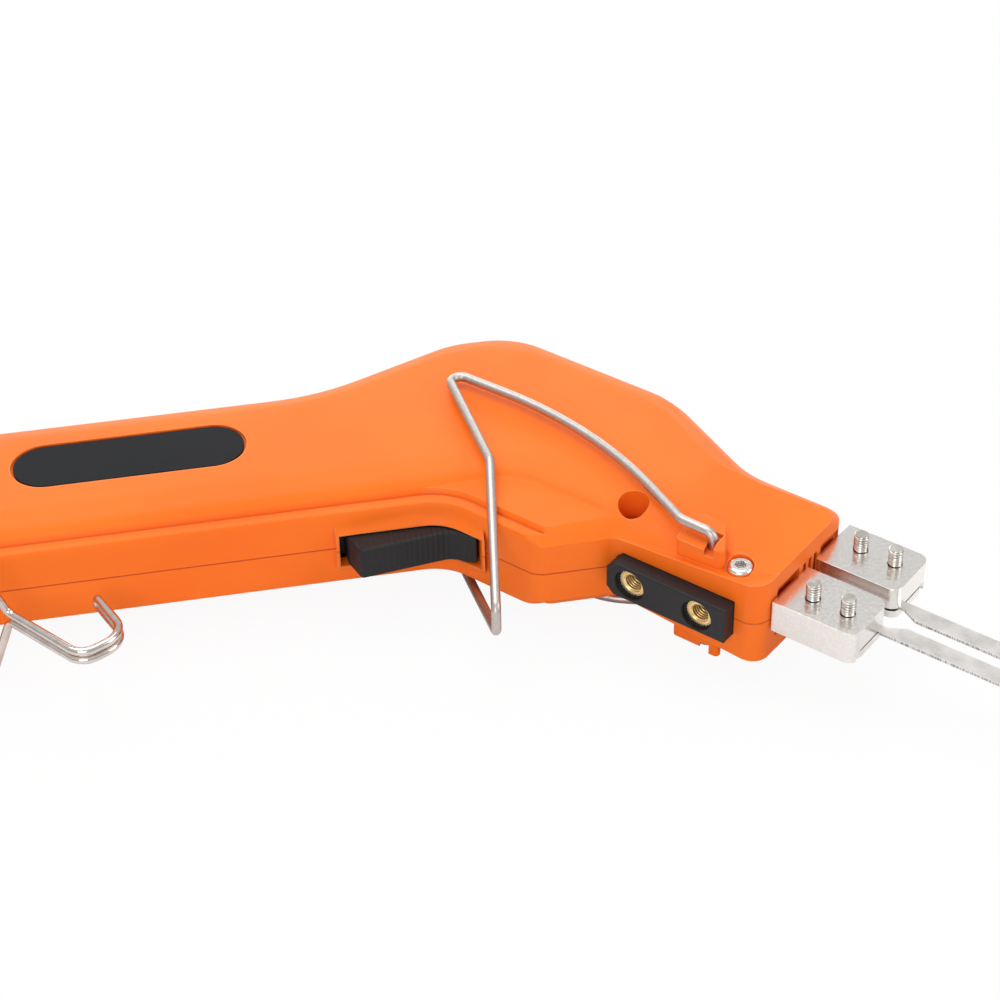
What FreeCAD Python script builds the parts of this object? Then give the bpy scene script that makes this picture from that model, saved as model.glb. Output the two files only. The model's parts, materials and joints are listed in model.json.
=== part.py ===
import FreeCAD, Part
import math
import os

from FreeCAD import Placement, Rotation, Vector

# Electric hot knife: a low-voltage transformer in a moulded two-shell housing feeds a hairpin blade.
# The tool lies on its left side. Two working frames are used, both with Z across the tool and Z = 0
# on the plane where the shells meet:
#   handle frame: X along the handle towards the head, Y towards the tool's back, Y = 0 on its underside
#   head frame:   X along the head towards the blade, X = 0 on the front face, Y towards the back
# The head frame is the handle frame turned about Z by the bend. All sizes are in millimetres.

DRIVING_SIZES = {
    # housing, handle frame unless said otherwise
    "bend_angle": 47.0, "head_x": 201.0, "head_y": -36.7,
    "handle_rear": -45.0, "handle_height": 50.9, "bulge_start": 87.0, "bulge_peak": 126.5,
    "bulge_height": 67.4, "knuckle_y": -21.3,
    "head_back": 30.9, "head_under": -38.4, "nose_under": -23.6, "nose_back": 17.8,
    "nose_waist": -30.0, "nose_shoulder": -57.0,
    "side_height": 16.0, "band_height": 10.4, "crest_height": 11.5, "groove_floor": 10.9,
    "nose_height": 12.5, "nose_slope_start": -34.0, "nose_crease": 9.0, "nose_crease_start": -44.0,
    "wall": 2.4, "seam": 0.16,
    # trigger opening and its raised rim
    "slot_rear": 86.5, "slot_front": 122.0, "slot_half": 5.0, "rim_half": 7.4, "rim_out": 1.6,
    # name plate
    "label_x": 36.0, "label_y": 28.9, "label_length": 60.0, "label_width": 25.4,
    "label_thick": 0.8, "label_recess": 1.0, "label_gap": 0.35,
    # accessory bar, head frame
    "bar_rear": -42.4, "bar_front": -7.5, "bar_face": -28.2, "bar_inner": -21.7, "bar_half": 5.2,
    "bar_corner": 1.9,
    "tongue_rear": -38.0, "tongue_front": -13.6, "tongue_inner": -17.6, "tongue_half": 6.37,
    "insert_rear": -35.4, "insert_pitch": 20.0, "insert_radius": 3.9,
    "insert_bore": 2.1, "insert_length": 5.3, "insert_setback": 1.3,
    # clamps and blade, head frame
    "clamp_start": 0.4, "clamp_end": 23.75, "clamp_inner": 2.05, "clamp_outer": 18.8,
    "clamp_top": 5.8, "clamp_bottom": -3.3, "clamp_cheek": 1.8, "clamp_corner": 3.0,
    "plate_thick": 2.0, "blade_thick": 0.8, "screw_first": 7.8, "screw_pitch": 9.8,
    "screw_side": 11.7, "screw_radius": 1.95, "screw_stand": 4.9,
    "blade_length": 150.0, "blade_half": 6.93, "blade_gap_half": 1.93, "blade_root_half": 4.3,
    "blade_taper": 4.5, "opening_centre": 10.4, "opening_width": 10.6, "recess_depth": 1.5,
    "bar_strip": 3.5, "bar_low": 0.4, "bar_high": 3.4,
    # lug, head frame
    "lug_near": -21.9, "lug_far": -10.9, "lug_top": 15.7, "lug_rim": 1.45,
    "lug_slot_floor": 14.2, "lug_slot_turn": 14.0,
    # wire pieces
    "bail_wire": 1.25, "bail_side": 18.5, "bail_pivot_x": 175.8, "bail_pivot_y": -36.2,
    "bail_twist": 6.8, "hook_wire": 1.1, "hook_side": 18.4, "hook_pivot_x": -27.0,
    "hook_pivot_y": 9.0, "hook_pair": 1.35, "pivot_clearance": 0.06,
    # trigger and switch, handle frame
    "trigger_pivot_x": 118.0, "trigger_pivot_y": 1.6, "trigger_half": 4.6, "trigger_pin": 1.5,
    "switch_x": 84.0, "switch_y": 15.0, "switch_length": 27.8, "switch_depth": 15.9,
    "switch_half": 5.15, "button_x": 98.0, "button_travel": 2.6,
    # transformer, head frame
    "core_rear": -98.0, "core_front": -58.0, "core_half": 24.0, "core_leg": 8.0, "core_stack": 7.0,
    "bobbin_wall": 1.0, "coil_build": 2.4, "strap_thick": 2.2,
    # cable inlet at the rear end
    "gland_y": 25.7, "gland_radius": 7.0, "gland_bore": 3.6, "gland_out": 13.0, "gland_in": 9.0,
}

doc = FreeCAD.newDocument("hot_knife")
sheet = doc.addObject("Spreadsheet::Sheet", "sizes")
for row, (alias, value) in enumerate(DRIVING_SIZES.items(), start=1):
    sheet.set("A%d" % row, alias)
    sheet.set("B%d" % row, str(value))
    sheet.setAlias("B%d" % row, alias)
doc.recompute()

finished = []


def size(alias):
    """A driving size read from the sheet."""
    return float(getattr(sheet, alias))


def handle_frame():
    return Placement()


def head_frame():
    turn = Rotation(Vector(0, 0, 1), -size("bend_angle"))
    return Placement(Vector(size("head_x"), size("head_y"), 0), turn)


def head_point(along, across, height=0.0):
    """A head frame point in the handle frame."""
    return head_frame().multVec(Vector(along, across, height))


def keep(item, node, placement):
    """Name a finished sub-part and put it in its frame."""
    item.Label = node
    item.Placement = placement
    finished.append(item)
    return item


def keep_shape(shape, node, placement):
    """A sub-part whose shape is built with Part's own functions."""
    item = doc.addObject("Part::Feature", node + "_solid")
    item.Shape = shape
    return keep(item, node, placement)


# Plane outlines: a corner list where each corner has a radius, so every round stretch is an arc

def cross_2d(first, second):
    return first.x * second.y - first.y * second.x


def inset_corners(corners, insets):
    """Move every edge inwards by its own distance. Edge i runs from corner i to the next one.
    Where two edges are nearly in line their distances blend over the corner."""
    count = len(corners)
    lines = []
    for index in range(count):
        start = Vector(corners[index][0], corners[index][1], 0)
        end = Vector(corners[(index + 1) % count][0], corners[(index + 1) % count][1], 0)
        along = (end - start).normalize()
        inwards = Vector(-along.y, along.x, 0)
        lines.append((start, along, inwards))
    moved = []
    for index in range(count):
        corner, along, inwards = lines[index - 1]
        start, other_along, other_inwards = lines[index]
        turn = cross_2d(along, other_along)
        if abs(turn) < 0.42:
            shift = (insets[index - 1] + insets[index]) / 2 / (1 + inwards.dot(other_inwards))
            place = start + (inwards + other_inwards) * shift
        else:
            point = corner + inwards * insets[index - 1]
            other = start + other_inwards * insets[index]
            place = point + along * (cross_2d(other - point, other_along) / turn)
        inner = min(insets[index - 1], insets[index])
        radius = corners[index][2] - inner if turn > 0 else corners[index][2] + inner
        moved.append((place.x, place.y, max(radius, 1.2)))
    return moved


def rounded_wire(corners, height=0.0):
    """A closed wire of lines and corner arcs."""
    count = len(corners)
    points = [Vector(c[0], c[1], 0) for c in corners]
    trims = []
    for index in range(count):
        back = (points[index - 1] - points[index]).normalize()
        ahead = (points[(index + 1) % count] - points[index]).normalize()
        half = math.acos(max(-1.0, min(1.0, back.dot(ahead)))) / 2
        room = 0.48 * min((points[index - 1] - points[index]).Length,
                          (points[(index + 1) % count] - points[index]).Length)
        trim = min(corners[index][2] / math.tan(half), room)
        radius = trim * math.tan(half)
        centre = points[index] + (back + ahead).normalize() * (radius / math.sin(half))
        middle = centre + (points[index] - centre).normalize() * radius
        trims.append((points[index] + back * trim, middle, points[index] + ahead * trim))
    lift = Vector(0, 0, height)
    edges = []
    for index in range(count):
        start, middle, end = trims[index]
        edges.append(Part.Arc(start + lift, middle + lift, end + lift).toShape())
        following = trims[(index + 1) % count][0]
        edges.append(Part.LineSegment(end + lift, following + lift).toShape())
    return Part.Wire(edges)


def prism(corners, low, high):
    face = Part.Face(rounded_wire(corners, low))
    return face.extrude(Vector(0, 0, high - low))


def stacked(corners, levels):
    """Ruled slabs between inset outlines. levels is a list of (height, insets)."""
    slabs = []
    for (low, low_insets), (high, high_insets) in zip(levels, levels[1:]):
        low_wire = rounded_wire(inset_corners(corners, low_insets), low)
        high_wire = rounded_wire(inset_corners(corners, high_insets), high)
        slabs.append(Part.makeLoft([low_wire, high_wire], True, True))
    return slabs[0].multiFuse(slabs[1:]) if len(slabs) > 1 else slabs[0]


def block(x_low, x_high, y_low, y_high, z_low, z_high):
    return Part.makeBox(x_high - x_low, y_high - y_low, z_high - z_low,
                        Vector(x_low, y_low, z_low))


def post(x, y, radius, z_low, z_high):
    return Part.makeCylinder(radius, z_high - z_low, Vector(x, y, z_low))


def in_head(shape):
    """A head frame shape moved into the handle frame."""
    moved = shape.copy()
    moved.Placement = head_frame().multiply(moved.Placement)
    return moved


def mirror_across(shape):
    """The mirror image on the other side of the parting plane."""
    return shape.mirror(Vector(0, 0, 0), Vector(0, 0, 1))


# Housing

def housing_corners():
    """Side outline of the housing, anticlockwise from the rear of the underside."""
    def head(along, across, radius):
        place = head_point(along, across)
        return (place.x, place.y, radius)

    bend = math.radians(size("bend_angle"))

    def on_head_line(across, height):
        """Where a line parallel to the head crosses a given handle frame Y."""
        along = (size("head_y") + across * math.cos(bend) - height) / math.sin(bend)
        return head_point(along, across)

    belly = on_head_line(size("head_under"), 0.0)
    knuckle = on_head_line(size("head_under"), size("knuckle_y"))
    throat = on_head_line(size("nose_under"), size("knuckle_y"))
    crown = on_head_line(size("head_back"), size("bulge_height"))
    rear = size("handle_rear")
    return [
        (rear, 0.0, 6.0),
        (belly.x, belly.y, 14.0),
        (knuckle.x, knuckle.y, 6.0),
        (throat.x, throat.y, 4.0),
        head(0.0, size("nose_under"), 5.0),
        head(0.0, size("nose_back"), 5.0),
        head(size("nose_waist"), size("nose_back"), 24.0),
        head(size("nose_shoulder"), size("head_back"), 20.0),
        (crown.x, crown.y, 28.0),
        (size("bulge_peak"), size("bulge_height"), 26.0),
        (size("bulge_start"), size("handle_height"), 60.0),
        (rear, size("handle_height"), 12.0),
    ]


# Edge order of the outline: handle underside, belly, knuckle, nose underside, front, nose back,
# shoulder, head back, crown, rise, handle back, rear end
def per_edge(under, belly, knuckle, nose, front, nose_back, shoulder, back, rear):
    return [under, belly, knuckle, nose, front, nose_back, shoulder, back, back, back, back, rear]


def smooth_levels(table, steps):
    """Levels between the rows of a table, each edge's inset on a curve that never overshoots.
    steps[i] is the number of slabs between row i and the next."""
    heights = [row[0] for row in table]
    rises = [high - low for low, high in zip(heights, heights[1:])]
    columns = []
    for edge in range(len(table[0][1])):
        values = [row[1][edge] for row in table]
        slopes = [(b - a) / rise for a, b, rise in zip(values, values[1:], rises)]
        bends = [slopes[0]]
        for before, after in zip(slopes, slopes[1:]):
            bends.append(2 * before * after / (before + after) if before * after > 0 else 0.0)
        columns.append((values, bends + [slopes[-1]]))
    levels = []
    for index, rise in enumerate(rises):
        for step in range(steps[index]):
            t = step / steps[index]
            insets = []
            for values, bends in columns:
                insets.append(values[index] * (1 + 2 * t) * (1 - t) ** 2
                              + values[index + 1] * t * t * (3 - 2 * t)
                              + bends[index] * rise * t * (1 - t) ** 2
                              - bends[index + 1] * rise * t * t * (1 - t))
            levels.append((heights[index] + t * rise, insets))
    return levels + [table[-1]]


def side_levels():
    """How far the side wall leans in at each height."""
    table = [
        (9.0, per_edge(3.5, 3.5, 0.0, 0.0, 0.0, 0.0, 0.0, 0.0, 0.0)),
        (11.1, per_edge(3.7, 3.7, 1.5, 2.6, 0.0, 2.2, 1.2, 0.3, 0.3)),
        (12.6, per_edge(4.4, 4.6, 3.3, 4.9, 0.0, 4.4, 2.7, 1.0, 0.8)),
        (13.1, per_edge(4.8, 16.5, 4.2, 5.8, 0.0, 5.2, 3.3, 1.4, 1.1)),
        (14.4, per_edge(6.4, 18.6, 6.8, 8.0, 0.0, 7.2, 4.8, 2.7, 2.1)),
        (15.5, per_edge(9.2, 21.4, 10.0, 10.6, 0.0, 9.4, 7.0, 4.9, 3.6)),
        (16.0, per_edge(13.0, 25.0, 14.0, 14.2, 0.0, 12.0, 9.6, 8.2, 6.0)),
    ]
    return smooth_levels(table, [1, 2, 3, 3, 2, 2])


def band_levels():
    """The flat band along the underside, with its rounded crest."""
    top = size("crest_height")
    edge = size("band_height")
    seam = size("seam")
    return [
        (0.0, per_edge(seam, seam, seam, seam, 0.0, seam, seam, seam, seam)),
        (seam, per_edge(0, 0, 0, 0, 0, 0, 0, 0, 0)),
        (9.0, per_edge(0, 0, 0, 0, 0, 0, 0, 0, 0)),
        (edge, per_edge(0.15, 0.15, 1.6, 2.4, 0.0, 2.2, 1.4, 0.8, 0.8)),
        (top - 0.4, per_edge(0.45, 0.45, 2.2, 3.2, 0.0, 3.0, 2.0, 1.2, 1.2)),
        (top, per_edge(1.2, 1.2, 3.2, 4.6, 0.0, 4.2, 3.0, 1.8, 1.8)),
    ]


def nose_cut():
    """Everything above the nose's sloping top."""
    start = size("nose_slope_start")
    low = size("nose_height")
    high = size("side_height")
    slope = (low - high) / (0.0 - start)
    profile = Part.makePolygon([
        Vector(start - 4, -60, high - 4 * slope), Vector(6, -60, low + 6 * slope),
        Vector(6, -60, 30), Vector(start - 4, -60, 30), Vector(start - 4, -60, high - 4 * slope)])
    return in_head(Part.Face(profile).extrude(Vector(0, 120, 0)))


def nose_cheek(corners):
    """The nose's underside wall rises towards the front as a flat cheek."""
    start = size("nose_crease_start")
    profile = Part.makePolygon([
        Vector(start, -40, 0), Vector(2, -40, 0), Vector(2, -40, size("nose_height")),
        Vector(start, -40, size("nose_crease")), Vector(start, -40, 0)])
    cheek = in_head(Part.Face(profile).extrude(Vector(0, 34, 0)))
    return cheek.common(prism(corners, 0, size("nose_height") + 1))


def trigger_rim(corners):
    """A raised rim with sloping sides along both edges of the trigger opening."""
    out = -size("rim_out")
    flat = per_edge(out, out, 0, 0, 0, 0, 0, 0, 0)
    none = per_edge(0, 0, 0, 0, 0, 0, 0, 0, 0)
    rim = stacked(corners, [(0.0, flat), (size("slot_half"), flat), (size("rim_half"), none)])
    return rim.common(block(size("slot_rear") - 0.8, size("slot_front") + 0.6, -14, 3, 0,
                            size("rim_half")))


def outer_half(corners):
    """Right half of the housing before it is hollowed."""
    side = stacked(corners, side_levels())
    band = stacked(corners, band_levels())
    groove_edges = per_edge(2.6, 2.6, 2.6, 12.0, 12.0, 12.0, 12.0, 12.0, 1.6)
    groove = prism(inset_corners(corners, groove_edges), size("groove_floor"), 13.0)
    half = band.cut(groove).fuse([side, nose_cheek(corners), trigger_rim(corners)])
    return half.cut(nose_cut())


def cavity_half(corners):
    """Hollow inside the right half."""
    wall = size("wall")
    low = per_edge(wall, wall, wall, wall, wall, wall, wall, wall, wall)
    shelf = per_edge(6.2, 6.4, 4.0, 4.6, wall, 4.2, 3.4, wall + 0.4, wall + 0.6)
    high = per_edge(8.0, 19.4, 7.0, 8.4, wall, 7.6, 5.6, wall + 1.8, wall + 1.8)
    top = per_edge(12.0, 24.0, 12.6, 12.8, wall, 11.0, 9.0, wall + 5.0, wall + 4.0)
    hollow = stacked(corners, [(0.0, low), (7.6, low), (9.4, shelf), (11.2, high), (13.4, top)])
    lowered = nose_cut()
    lowered.translate(Vector(0, 0, -wall))
    return hollow.cut(lowered)


def lug_corners():
    """Outline of the bail's lug, head frame, anticlockwise from its rear near corner."""
    near = size("lug_near")
    far = size("lug_far")
    return [(-26.2, near, 1.4), (-11.8, near, 1.2), (-17.6, far - 0.8, 2.2), (-24.2, far, 2.0),
            (-27.8, far - 1.8, 1.4)]


def lug():
    """Pivot lug of the bail on the right half: a pad with a raised rim on its front and far sides."""
    pad_top = size("lug_top")
    rim_top = pad_top + size("lug_rim")
    outline = lug_corners()
    pad = prism(outline, 9.8, pad_top)
    rim = prism(outline, pad_top - 0.1, rim_top)
    rim = rim.makeFillet(0.5, [e for e in rim.Edges if e.BoundBox.ZMin > rim_top - 0.01])
    place = bail_pivot_in_head()
    reach = size("bail_wire") + 0.35
    open_side = block(-30, place.x + reach, -24, place.y + reach + 0.9, pad_top, rim_top + 1)
    return in_head(pad.fuse(rim.cut(open_side)))


def bail_pivot_in_head():
    pivot = Vector(size("bail_pivot_x"), size("bail_pivot_y"), 0)
    return head_frame().inverse().multVec(pivot)


def lug_slot():
    """Slot that lets the wire's end in from the lug's near side."""
    radius = size("bail_wire") + size("pivot_clearance")
    slot = Part.makeBox(2 * radius, 7.0, 8.0, Vector(-radius, -7.0, size("lug_slot_floor")))
    slot.rotate(Vector(0, 0, 0), Vector(0, 0, 1), size("lug_slot_turn"))
    slot.translate(bail_pivot_in_head())
    return in_head(slot)


def screw_places():
    """Shell screws as (x, y, seat height, head radius, counterbore radius, boss radius)."""
    front = head_point(-9.2, -18.6)
    middle = head_point(-43.2, -15.2)
    return [
        (front.x, front.y, 11.2, 3.3, 3.42, 3.5),
        (middle.x, middle.y, 6.2, 3.1, 4.0, 4.9),
        (-34.0, 40.0, 11.0, 2.9, 3.4, 4.5),
        (-36.0, 11.5, 11.0, 2.9, 3.4, 4.5),
    ]


def label_recess():
    length = size("label_length") + 2 * size("label_gap")
    width = size("label_width") + 2 * size("label_gap")
    depth = size("label_recess")
    return capsule(length, width, size("side_height") - depth, depth + 1.0)


def capsule(length, width, low, thick):
    """A flat plate with round ends, centred on the name plate's place."""
    radius = width / 2
    centre_x = size("label_x")
    centre_y = size("label_y")
    reach = length / 2 - radius
    middle = block(centre_x - reach, centre_x + reach, centre_y - radius, centre_y + radius,
                   low, low + thick)
    ends = [post(centre_x + side * reach, centre_y, radius, low, low + thick) for side in (-1, 1)]
    return middle.fuse(ends).removeSplitter()


def front_openings():
    """Shallow recesses in the front face with slots for the two current bars, and grooves between."""
    cuts = []
    half = size("opening_width") / 2
    bar_half = size("bar_strip") + 0.3
    for side in (-1, 1):
        centre = side * size("opening_centre")
        cuts.append(block(-size("recess_depth"), 2, centre - half, centre + half, -4.4, 7.6))
        cuts.append(block(-6, 2, centre - bar_half, centre + bar_half, -0.2, 4.0))
    for index in range(3):
        middle = (index - 1) * 2.6
        cuts.append(block(-1.2, 2, middle - 0.8, middle + 0.8, -3.6, 7.2))
    return in_head(cuts[0].multiFuse(cuts[1:]))


def bar_window():
    """Window in the nose's underside for the accessory bar."""
    gap = 0.1
    window = block(size("bar_rear") - gap, size("bar_front") + gap, size("bar_face") - 2, -21.1,
                   -size("bar_half") - gap, size("bar_half") + gap)
    rear_edges = [e for e in window.Edges if runs_along(e, Y_AXIS)
                  and e.CenterOfMass.x < size("bar_rear")]
    return in_head(window.makeChamfer(size("bar_corner"), rear_edges))


def shell_half(corners, right_side):
    """One moulded shell with its bosses, windows and pivot holes."""
    body = outer_half(corners).fuse(lug())
    cavity = cavity_half(corners)
    shell = body.cut(cavity)
    bosses = []
    holes = [front_openings(), bar_window(), lug_slot()]
    pivots = [
        (size("bail_pivot_x"), size("bail_pivot_y"), size("bail_wire")),
        (size("hook_pivot_x"), size("hook_pivot_y"), size("hook_wire")),
    ]
    for x, y, radius in pivots:
        bosses.append(post(x, y, radius + 2.0, 8.4, 14.5))
        holes.append(post(x, y, radius + size("pivot_clearance"), 9.0, 24.0))
    for x, y, seat, head_radius, counterbore, boss_radius in screw_places():
        if right_side:
            bosses.append(post(x, y, boss_radius, 0.0, 14.0))
            holes.append(post(x, y, 1.6, -1.0, 30.0))
            holes.append(post(x, y, counterbore, seat, 30.0))
        else:
            bosses.append(post(x, y, 3.3, 0.0, 14.0))
            holes.append(post(x, y, 1.47, -1.0, 11.0))
    pin_x = size("trigger_pivot_x")
    pin_y = size("trigger_pivot_y")
    bosses.append(post(pin_x, pin_y, 3.2, size("slot_half") + 0.2, 11.0))
    holes.append(post(pin_x, pin_y, size("trigger_pin"), -1.0, 9.6))
    gland_hole = Part.makeCylinder(size("gland_radius") - 1.6, 14, Vector(
        size("handle_rear") - 4, size("gland_y"), 0), Vector(1, 0, 0))
    holes.append(gland_hole)
    bosses = [boss.common(body) for boss in bosses]
    shell = shell.fuse(bosses)
    slot = block(size("slot_rear"), size("slot_front"), -16, 9, -1, size("slot_half"))
    shell = shell.cut(holes + [slot])
    if right_side:
        shell = shell.cut(label_recess())
    return largest_solid(shell)


def largest_solid(shape):
    """The main solid, without crumbs that a cut may leave."""
    solids = sorted(shape.Solids, key=lambda s: s.Volume)
    crumbs = sum(s.Volume for s in solids[:-1])
    if crumbs > 1.0:
        print("crumbs left out: %.2f mm3 in %d" % (crumbs, len(solids) - 1))
    return solids[-1].removeSplitter()


def build_housing():
    corners = housing_corners()
    right = shell_half(corners, True)
    left = mirror_across(shell_half(corners, False))
    keep_shape(right, "right_shell", handle_frame())
    keep_shape(left, "left_shell", handle_frame())
    plate = capsule(size("label_length"), size("label_width"),
                    size("side_height") - size("label_recess"), size("label_thick"))
    keep_shape(plate, "label_plate", handle_frame())
    screws = []
    for x, y, seat, head_radius, counterbore, boss_radius in screw_places():
        screws.append(pan_screw(x, y, seat, head_radius, 1.45, seat + 9.5))
    keep_shape(Part.makeCompound(screws), "shell_screws", handle_frame())


def pan_screw(x, y, seat, head_radius, shank_radius, length):
    """Socket-head pan screw, head up, with its point below."""
    head = Part.makeCylinder(head_radius, 1.9, Vector(0, 0, 0))
    head = head.makeFillet(1.0, [e for e in head.Edges if abs(e.BoundBox.ZMin - 1.9) < 0.01
                                 and e.Curve.TypeId == "Part::GeomCircle"])
    shank = Part.makeCylinder(shank_radius, length - 2.0, Vector(0, 0, 2.0 - length))
    point = Part.makeCone(0.4, shank_radius, 2.0, Vector(0, 0, -length))
    across = head_radius * 0.5
    turns = [Vector(across, 0, 0.6)]
    for index in range(6):
        corner = math.radians(60.0 * (index + 1))
        turns.append(Vector(across * math.cos(corner), across * math.sin(corner), 0.6))
    socket = Part.Face(Part.makePolygon(turns)).extrude(Vector(0, 0, 3))
    screw = head.fuse([shank, point]).cut(socket)
    screw.translate(Vector(x, y, seat))
    return screw


# Sketch helpers for the parametric bodies

def origin_plane(body, role):
    for feature in body.Origin.OriginFeatures:
        if feature.Role == role:
            return feature
    raise ValueError(role)


def new_body(name):
    return doc.addObject("PartDesign::Body", name)


def sketch_on(body, role, name, lift="0"):
    """A sketch on one of the body's origin planes, lifted by a sheet expression."""
    sketch = body.newObject("Sketcher::SketchObject", name)
    sketch.AttachmentSupport = [(origin_plane(body, role), "")]
    sketch.MapMode = "FlatFace"
    sketch.setExpression("AttachmentOffset.Base.z", lift)
    return sketch


def bound_rectangle(sketch, left, right, bottom, top):
    """A rectangle whose four sides are bound to sheet expressions."""
    from Sketcher import Constraint
    first = sketch.GeometryCount
    places = [(0, 0), (10, 0), (10, 5), (0, 5)]
    for index in range(4):
        start = Vector(*places[index], 0)
        end = Vector(*places[(index + 1) % 4], 0)
        sketch.addGeometry(Part.LineSegment(start, end), False)
    for index in range(4):
        following = first + (index + 1) % 4
        sketch.addConstraint(Constraint("Coincident", first + index, 2, following, 1))
    for index in (0, 2):
        sketch.addConstraint(Constraint("Horizontal", first + index))
    for index in (1, 3):
        sketch.addConstraint(Constraint("Vertical", first + index))
    for kind, point, expression in (("DistanceX", (first, 1), left), ("DistanceX", (first, 2), right),
                                    ("DistanceY", (first, 1), bottom),
                                    ("DistanceY", (first + 2, 1), top)):
        index = sketch.addConstraint(Constraint(kind, -1, 1, point[0], point[1], 1.0))
        sketch.setExpression("Constraints[%d]" % index, expression)


def bound_circle(sketch, x, y, radius):
    """A circle with its centre and radius bound to sheet expressions."""
    from Sketcher import Constraint
    index = sketch.addGeometry(Part.Circle(Vector(1, 1, 0), Vector(0, 0, 1), 2.0), False)
    for kind, expression in (("DistanceX", x), ("DistanceY", y)):
        constraint = sketch.addConstraint(Constraint(kind, -1, 1, index, 3, 1.0))
        sketch.setExpression("Constraints[%d]" % constraint, expression)
    constraint = sketch.addConstraint(Constraint("Radius", index, 2.0))
    sketch.setExpression("Constraints[%d]" % constraint, radius)


def pad(body, sketch, length, name, both_ways=False, backwards=False):
    feature = body.newObject("PartDesign::Pad", name)
    feature.Profile = sketch
    feature.Midplane = both_ways
    feature.Reversed = backwards
    feature.setExpression("Length", length)
    return feature


def pocket(body, sketch, length, name, both_ways=False, backwards=False):
    """A pocket that is checked to take material away."""
    doc.recompute()
    before = body.Shape.Volume
    feature = body.newObject("PartDesign::Pocket", name)
    feature.Profile = sketch
    feature.Midplane = both_ways
    feature.Reversed = backwards
    feature.setExpression("Length", length)
    doc.recompute()
    if body.Shape.Volume > before - 1e-3:
        raise RuntimeError(name + " cuts nothing")
    return feature


def dress(body, kind, edge_test, value, name):
    """Fillet or chamfer the edges of the body's tip that pass a test."""
    doc.recompute()
    tip = body.Tip
    names = ["Edge%d" % (index + 1) for index, edge in enumerate(tip.Shape.Edges) if edge_test(edge)]
    feature = body.newObject("PartDesign::" + kind, name)
    feature.Base = (tip, names)
    if kind == "Fillet":
        feature.Radius = value
    else:
        feature.Size = value
    doc.recompute()
    return feature


def runs_along(edge, axis):
    """True for a straight edge parallel to an axis."""
    if edge.Curve.TypeId != "Part::GeomLine":
        return False
    direction = edge.Vertexes[-1].Point - edge.Vertexes[0].Point
    return direction.cross(axis).Length < 1e-6


X_AXIS = Vector(1, 0, 0)
Y_AXIS = Vector(0, 1, 0)
Z_AXIS = Vector(0, 0, 1)


# Accessory bar and its threaded inserts

def build_accessory_bar():
    """A moulded block held between the shells, with a flange behind their wall."""
    body = new_body("accessory_bar_body")
    outline = sketch_on(body, "XY_Plane", "bar_outline")
    bound_rectangle(outline, "sizes.bar_rear", "sizes.bar_front", "sizes.bar_face", "sizes.bar_inner")
    pad(body, outline, "2 * sizes.bar_half", "bar_block", both_ways=True)
    tongue = sketch_on(body, "XY_Plane", "bar_tongue_outline")
    bound_rectangle(tongue, "sizes.tongue_rear", "sizes.tongue_front", "sizes.bar_inner - 1",
                    "sizes.tongue_inner")
    pad(body, tongue, "2 * sizes.bar_half", "bar_tongue", both_ways=True)
    flange = sketch_on(body, "XY_Plane", "bar_flange_outline")
    bound_rectangle(flange, "sizes.tongue_rear", "sizes.tongue_front",
                    "sizes.nose_under + sizes.wall + 0.15", "sizes.tongue_inner")
    pad(body, flange, "2 * sizes.tongue_half", "bar_flange", both_ways=True)
    face = size("bar_face")
    rear = size("bar_rear")

    def rear_corner(edge):
        return runs_along(edge, Y_AXIS) and abs(edge.CenterOfMass.x - rear) < 0.1

    dress(body, "Chamfer", rear_corner, size("bar_corner"), "bar_rear_chamfer")

    def front_edge(edge):
        middle = edge.CenterOfMass
        return abs(middle.y - face) < 0.01 and not runs_along(edge, Z_AXIS)

    dress(body, "Fillet", front_edge, 0.5, "bar_front_round")
    for index in range(2):
        place = "sizes.insert_rear + %d * sizes.insert_pitch" % index
        hole = sketch_on(body, "XZ_Plane", "insert_hole_%d" % index, "0 - sizes.bar_face")
        bound_circle(hole, place, "0", "sizes.insert_radius")
        pocket(body, hole, "sizes.insert_setback + sizes.insert_length", "insert_seat_%d" % index)
        mouth = sketch_on(body, "XZ_Plane", "insert_mouth_%d" % index, "0 - sizes.bar_face")
        bound_circle(mouth, place + " - 0.2", "0", "sizes.insert_radius + 0.45")
        pocket(body, mouth, "sizes.insert_setback", "insert_recess_%d" % index)
    keep(body, "accessory_bar", head_frame())


def build_inserts():
    """Brass inserts with a threaded bore and a grooved outside."""
    radius = size("insert_radius")
    length = size("insert_length")
    start = size("bar_face") + size("insert_setback")
    inserts = []
    for index in range(2):
        along = size("insert_rear") + index * size("insert_pitch")
        base = Vector(along, start, 0)
        sleeve = Part.makeCylinder(radius - 0.02, length, base, Y_AXIS)
        bore = Part.makeCylinder(size("insert_bore"), length + 2, base - Y_AXIS, Y_AXIS)
        waist = Part.makeCylinder(radius + 1, 1.2, base + Y_AXIS * 2.4, Y_AXIS).cut(
            Part.makeCylinder(radius - 0.6, 1.2, base + Y_AXIS * 2.4, Y_AXIS))
        mouth = Part.makeCone(size("insert_bore") + 0.5, size("insert_bore"), 0.5, base, Y_AXIS)
        inserts.append(sleeve.cut([bore, waist, mouth]))
    keep_shape(Part.makeCompound(inserts), "threaded_inserts", head_frame())


# Clamps, blade and current bars

def side_name(side):
    return "near" if side < 0 else "far"


def side_span(side, inner, outer):
    """Low and high sheet expressions of a span on one side of the head's centre line."""
    if side > 0:
        return inner, outer
    return "0 - (%s)" % outer, "0 - (%s)" % inner


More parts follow.
